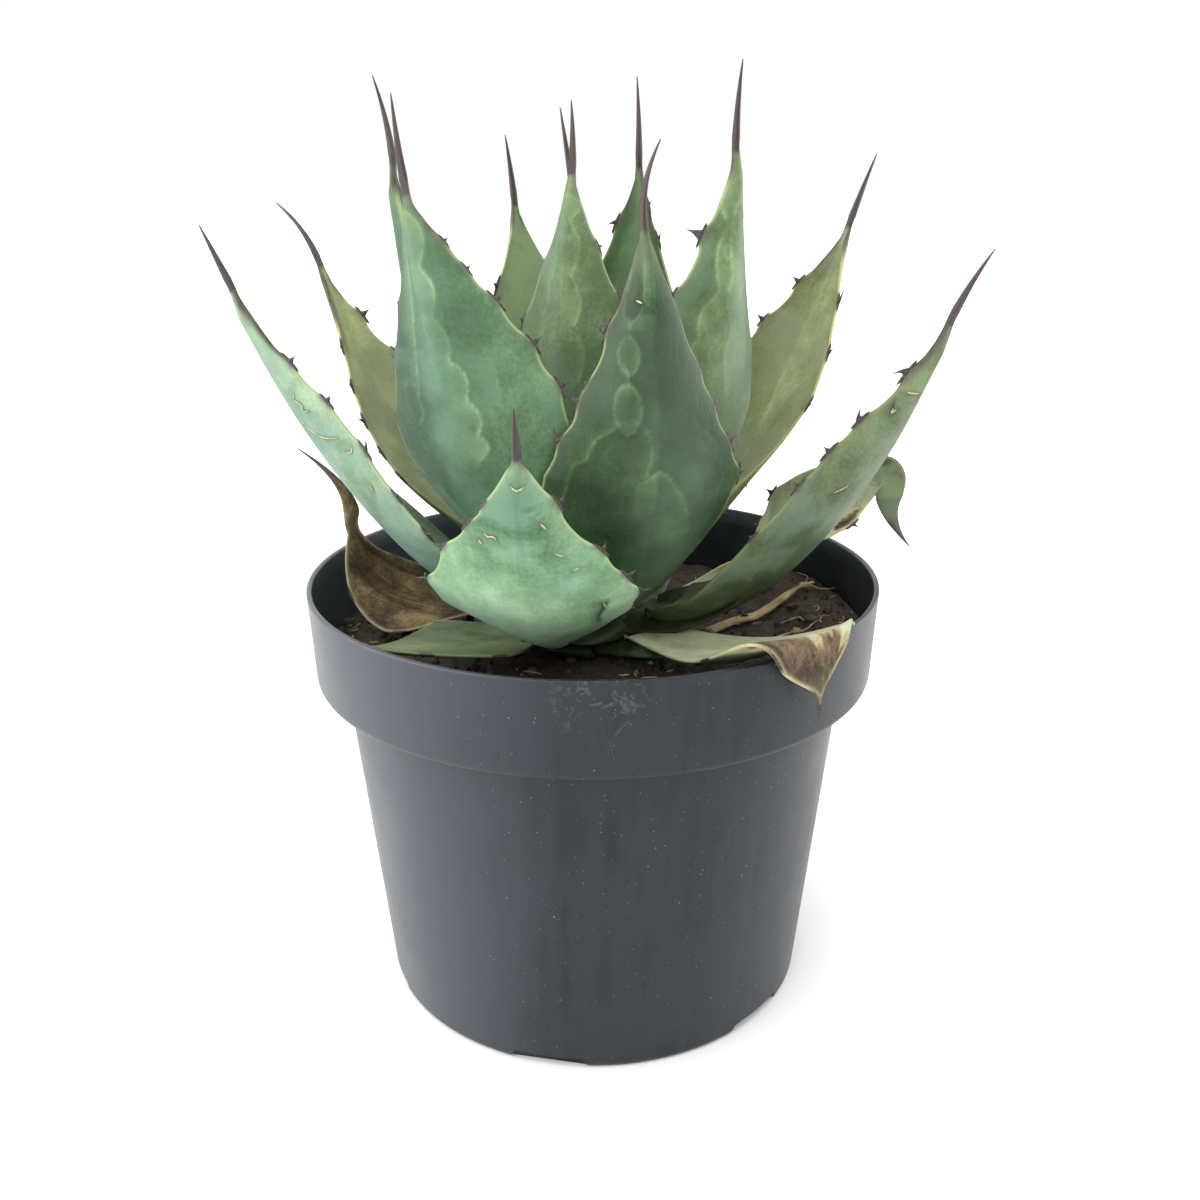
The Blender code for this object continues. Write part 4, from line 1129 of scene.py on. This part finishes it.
roots = dict(
    main=((43.0, -2.0), (54.0, 13.0), (67.0, 18.0), (87.0, 33.0)), length=60.0, halfWidth=2.4,
    thickness=1.7, stations=34, sides=20, clearance=0.7,
    ribs=(-0.85, 0.85), ribRadius=0.42, ribSides=6,
    side=(((82, 29), (87, 30), (91, 28), (95, 27)),
          ((80, 28), (84, 35), (86, 41), (83, 47)),
          ((58, -16), (64, -9), (72, -7), (78, -10), (83, -5)),
          ((70, 2), (76, 4), (80, -2), (87, -4))),
    sideRadius=(0.45, 0.4, 0.5, 0.4), sideLift=(0.4, 0.55), sideWobble=0.5, sideSides=8)


def rootLevel(x, y):
    return soilHeight(x, y, False) + roots["clearance"]


def sideRoot(plan, radius, lift):
    path = softPath(plan, 8)
    t = np.linspace(0, 1, len(path))
    path = path + crossing(path) * (roots["sideWobble"] * np.sin(t * 17 + lift * 9))[:, None]
    rise = lift + 0.5 * np.sin(8 * t + lift)
    spots = np.array([(x, y, rootLevel(x, y) + high) for (x, y), high in zip(path, rise)])
    taper = radius * np.clip(np.minimum(1.2 - t, 0.5 + 3 * t), 0.15, 1.0)
    taper = taper * (1 + 0.18 * np.sin(t * 31 + lift))
    length = np.concatenate(([0], np.cumsum(np.linalg.norm(np.diff(spots, axis=0), axis=1))))
    shape = (len(t), roots["sideSides"])
    grain = grainField(shape, np.linspace(0, 3, shape[1]), length[:, None], lift * 5)
    return tubeBlock(spots, taper, taper * 1.15, upwards, shape[1], grain=grain)


def mainRoot():  # a flat root with loose fibres that make its ribs
    count, thickness = roots["stations"], roots["thickness"]
    t = np.linspace(0, 1, count)
    plan = bezier(roots["main"], t)
    height = np.array([rootLevel(x, y) for x, y in plan]) + 0.5 * thickness
    wide = roots["halfWidth"] * (0.3 + 0.7 * np.sin(math.pi * np.minimum(1, 0.15 + t)).clip(0) ** 0.5)
    wide = wide * (1 + 0.12 * np.sin(t * 19) + 0.06 * np.sin(t * 43))
    length = (t * roots["length"])[:, None]
    grain = grainField((count, roots["sides"]), np.linspace(0, 8, roots["sides"]), length, 0.0)
    blocks = [tubeBlock(np.column_stack((plan, height)), np.full(count, 0.5 * thickness), wide,
                        upwards, roots["sides"], grain=grain)]
    for k, where in enumerate(roots["ribs"]):
        weave = where + 0.12 * np.sin(t * 9 + k * 2.1)
        rise = 0.42 * thickness * np.sqrt(np.clip(1 - weave ** 2, 0.05, 1))
        fibre = np.column_stack((plan + crossing(plan) * (weave * wide)[:, None], height + rise))
        size = roots["ribRadius"] * (1 + 0.2 * np.sin(t * 23 + k))
        sides = roots["ribSides"]
        grain = grainField((count, sides), np.linspace(0, 2, sides) + k, length, 0.0)
        blocks.append(tubeBlock(fibre, size, size * 1.2, upwards, sides, grain=grain))
    return blocks


rootSkin = driedRootSkin()
addPiece("dried_root_strip", mainRoot(), rootSkin, "root_strip")
rootlets = [sideRoot(plan, radius, between(roots["sideLift"], k))
            for k, (plan, radius) in enumerate(zip(roots["side"], roots["sideRadius"]))]
addPiece("dried_rootlets", rootlets, rootSkin, None)
print("roots")


pot = dict(
    outside=((78.0, 0.0), (79.4, 1.6), (91.0, 121.0), (91.3, 122.6), (100.4, 123.0),
             (101.0, 124.5), (102.3, 153.2), (102.5, 156.0)),
    inside=((100.6, 156.0), (99.8, 150.0), (98.9, 125.5), (89.4, 123.8), (77.9, 7.0), (76.0, 6.0)),
    corner=0.8, segments=240, sharpAngle=35, notches=6, notchAzimuth=-12.0, notchWidth=29.0,
    notchTopWidth=24.0, notchHeight=4.0, notchDepth=3.2,
    scuffPlace=(0.002, -0.101, 0.15), scuffFrom=0.018, scuffTo=0.008)


def mouldedPolypropylene():
    # Injection-moulded polypropylene, filled black: it looks dark grey and satin, with upright
    # flow streaks, fine dust, white specks and rubbed patches.
    paint = Paint("moulded_polypropylene", IOR=1.49, Specular_IOR_Level=0.32)
    cloud = paint.noise(perMm(42), 5.0, 0.6)
    streak = paint.noise(perMm(6), 4.0, space=paint.stretched(paint.place, (1.0, 1.0, 0.1)))
    dust = paint.noise(perMm(0.8))
    shade = paint.weigh(cloud, (0.8, streak))
    colour = paint.ramp(shade, (0.6, "#12161a"), (0.923, "#1e2328"))
    colour = paint.mix(paint.ramp(dust, (0.735, 0.0), (0.76, 0.6)), colour, "#a9adb0")
    # painted reflection: the left side is painted lighter, standing in for the bright room it faces
    sideways = paint.add("SeparateXYZ", {0: paint.place})
    colour = paint.mix(paint.span(sideways, -0.01, -0.07, 0.0, 0.85), colour, "#464b51")
    # rubbed patch on the front of the band: crossed scratches held inside a soft round mask
    gap = paint.add("VectorMath", {0: paint.place, 1: pot["scuffPlace"]}, "Value", operation="DISTANCE")
    inside = paint.span(gap, pot["scuffTo"], pot["scuffFrom"], 1.0, 0.0)
    scratch = paint.noise(perMm(9), 8.0, 0.75, 2.5)
    lines = paint.ramp(scratch, (0.55, 0.0), (0.6, 0.14), (0.64, 0.02))
    colour = paint.mix(paint.maths("MULTIPLY", inside, lines), colour, "#9aa0a4")
    rough = paint.span(cloud, 0.3, 0.7, 0.3, 0.42)
    relief = paint.weigh(dust, (0.5, streak))
    return paint.finish(colour, rough, paint.bump(relief, 0.12, 0.0003))


def filleted(profile, radius, steps=4):
    points = np.array(profile, float)
    rounded = [points[0]]
    t = np.linspace(0, 1, steps + 1)[:, None]
    for before, corner, after in zip(points[:-2], points[1:-1], points[2:]):
        back, ahead = before - corner, after - corner
        cut = min(radius, 0.45 * np.linalg.norm(back), 0.45 * np.linalg.norm(ahead))
        start, end = corner + unit(back) * cut, corner + unit(ahead) * cut
        rounded += list((1 - t) ** 2 * start + 2 * t * (1 - t) * corner + t ** 2 * end)
    return rounded + [points[-1]]


def notchBlock(azimuth):
    out, side = heading(azimuth)
    foot = pot["outside"][1][0]
    halfLow, halfTop, high = pot["notchWidth"] / 2, pot["notchTopWidth"] / 2, pot["notchHeight"]
    section = ((-halfLow, -1.0), (halfLow, -1.0), (halfTop, high), (-halfTop, high))
    return ringBlock([[out * (foot + shift) + side * wide + upwards * z for wide, z in section]
                      for shift in (-pot["notchDepth"], 3 * pot["notchDepth"])])


def buildPot():
    profile = filleted(pot["outside"] + pot["inside"], pot["corner"])
    body = ringBlock([circlePoints(radius, pot["segments"], z) for radius, z in profile])
    piece = addPiece("nursery_pot", [body], mouldedPolypropylene(), "pot")
    step = 360 / pot["notches"]
    blocks = [notchBlock(pot["notchAzimuth"] + k * step) for k in range(pot["notches"])]
    cutter = linked("notches", meshOf("notches", blocks))
    cut = piece.modifiers.new("notches", "BOOLEAN")
    cut.operation, cut.solver, cut.object = "DIFFERENCE", "EXACT", cutter
    bpy.context.view_layer.update()
    cutPiece = piece.evaluated_get(bpy.context.evaluated_depsgraph_get())
    shaped = bpy.data.meshes.new_from_object(cutPiece)
    piece.modifiers.clear()
    piece.data = shaped
    shaped.shade_smooth()
    shaped.set_sharp_from_angle(angle=math.radians(pot["sharpAngle"]))
    bpy.data.objects.remove(cutter, do_unlink=True)


buildPot()
print("pot")


def paleFloor(reach=6.0):
    mesh = bpy.data.meshes.new("floor")
    corners = [(-reach, -reach, 0), (reach, -reach, 0), (reach, reach, 0), (-reach, reach, 0)]
    mesh.from_pydata(corners, [], [(0, 1, 2, 3)])
    # matt white paper, faintly uneven
    paint = Paint("pale_floor", Roughness=0.9, Specular_IOR_Level=0.1)
    mesh.materials.append(paint.finish(paint.mix(paint.noise(6.0), "#ebebeb", "#efefef")))
    linked("floor", mesh)


def addLight(name, kind, place, aim, seenBy=("diffuse", "glossy"), **settings):
    light = bpy.data.lights.new(name, kind)
    for key, value in settings.items():
        setattr(light, key, value)
    lamp = linked(name, light)
    lamp.location = place
    lamp.rotation_euler = (Vector(aim) - Vector(place)).to_track_quat("-Z", "Y").to_euler()
    lamp.visible_diffuse = "diffuse" in seenBy
    lamp.visible_glossy = "glossy" in seenBy


def softWorld(low, high, towards):  # a white room, brightest overhead; seen directly it is plain white
    world = bpy.data.worlds.new("white_room")
    bpy.context.scene.world = world
    world.use_nodes = True
    tree = world.node_tree
    seen = addNode(tree, "LightPath", output="Is Camera Ray")
    direction = addNode(tree, "TexCoord", output="Generated")
    overhead = addNode(tree, "VectorMath", {0: direction, 1: Vector(towards).normalized()}, "Value",
                       operation="DOT_PRODUCT")
    room = addNode(tree, "MapRange", {0: overhead, 1: -1.0, 2: 1.0, 3: low, 4: high})
    power = addNode(tree, "Mix", {0: seen, 2: room, 3: 1.0})
    background = tree.nodes["Background"]
    background.inputs["Color"].default_value = (1, 1, 1, 1)
    tree.links.new(power, background.inputs["Strength"])


view = dict(place=(0.0, -0.434, 0.299), pitch=19.6, yaw=0.33, roll=-0.18, lens=37.5, sensor=36.0)


def addCamera():
    pitch, yaw, roll = (math.radians(view[key]) for key in ("pitch", "yaw", "roll"))
    level = math.cos(pitch)
    ahead = Vector((math.sin(yaw) * level, math.cos(yaw) * level, -math.sin(pitch)))
    flat = ahead.cross(Vector((0, 0, 1))).normalized()
    top = flat.cross(ahead)
    right = flat * math.cos(roll) + top * math.sin(roll)
    top = top * math.cos(roll) - flat * math.sin(roll)
    lens = bpy.data.cameras.new("camera")
    lens.lens, lens.sensor_width, lens.clip_start = view["lens"], view["sensor"], 0.01
    camera = linked("camera", lens)
    turn = Matrix((right, top, -ahead)).transposed().to_4x4()
    camera.matrix_world = Matrix.Translation(view["place"]) @ turn
    bpy.context.scene.camera = camera


paleFloor()
softWorld(0.35, 2.0, (-0.3, 0.2, 0.9))
addLight("key", "SUN", (-0.7, -1.0, 1.6), (0, 0, 0.2), energy=1.2, angle=math.radians(60))
# two panels only give the pot its bright edges, and a low lamp only lifts the shade
addLight("left_panel", "AREA", (-1.0, -0.3, 0.3), (0, 0, 0.12), ("glossy",), energy=20.0, size=1.3)
addLight("right_panel", "AREA", (1.0, 0.25, 0.35), (0, 0, 0.15), ("glossy",), energy=8.0, size=0.9)
addLight("low_fill", "AREA", (-0.35, -1.1, 0.1), (0, 0, 0.2), ("diffuse",), energy=3.2, size=0.8)
addCamera()
bpy.context.scene.view_settings.view_transform = "Standard"
print("floor, light and camera")
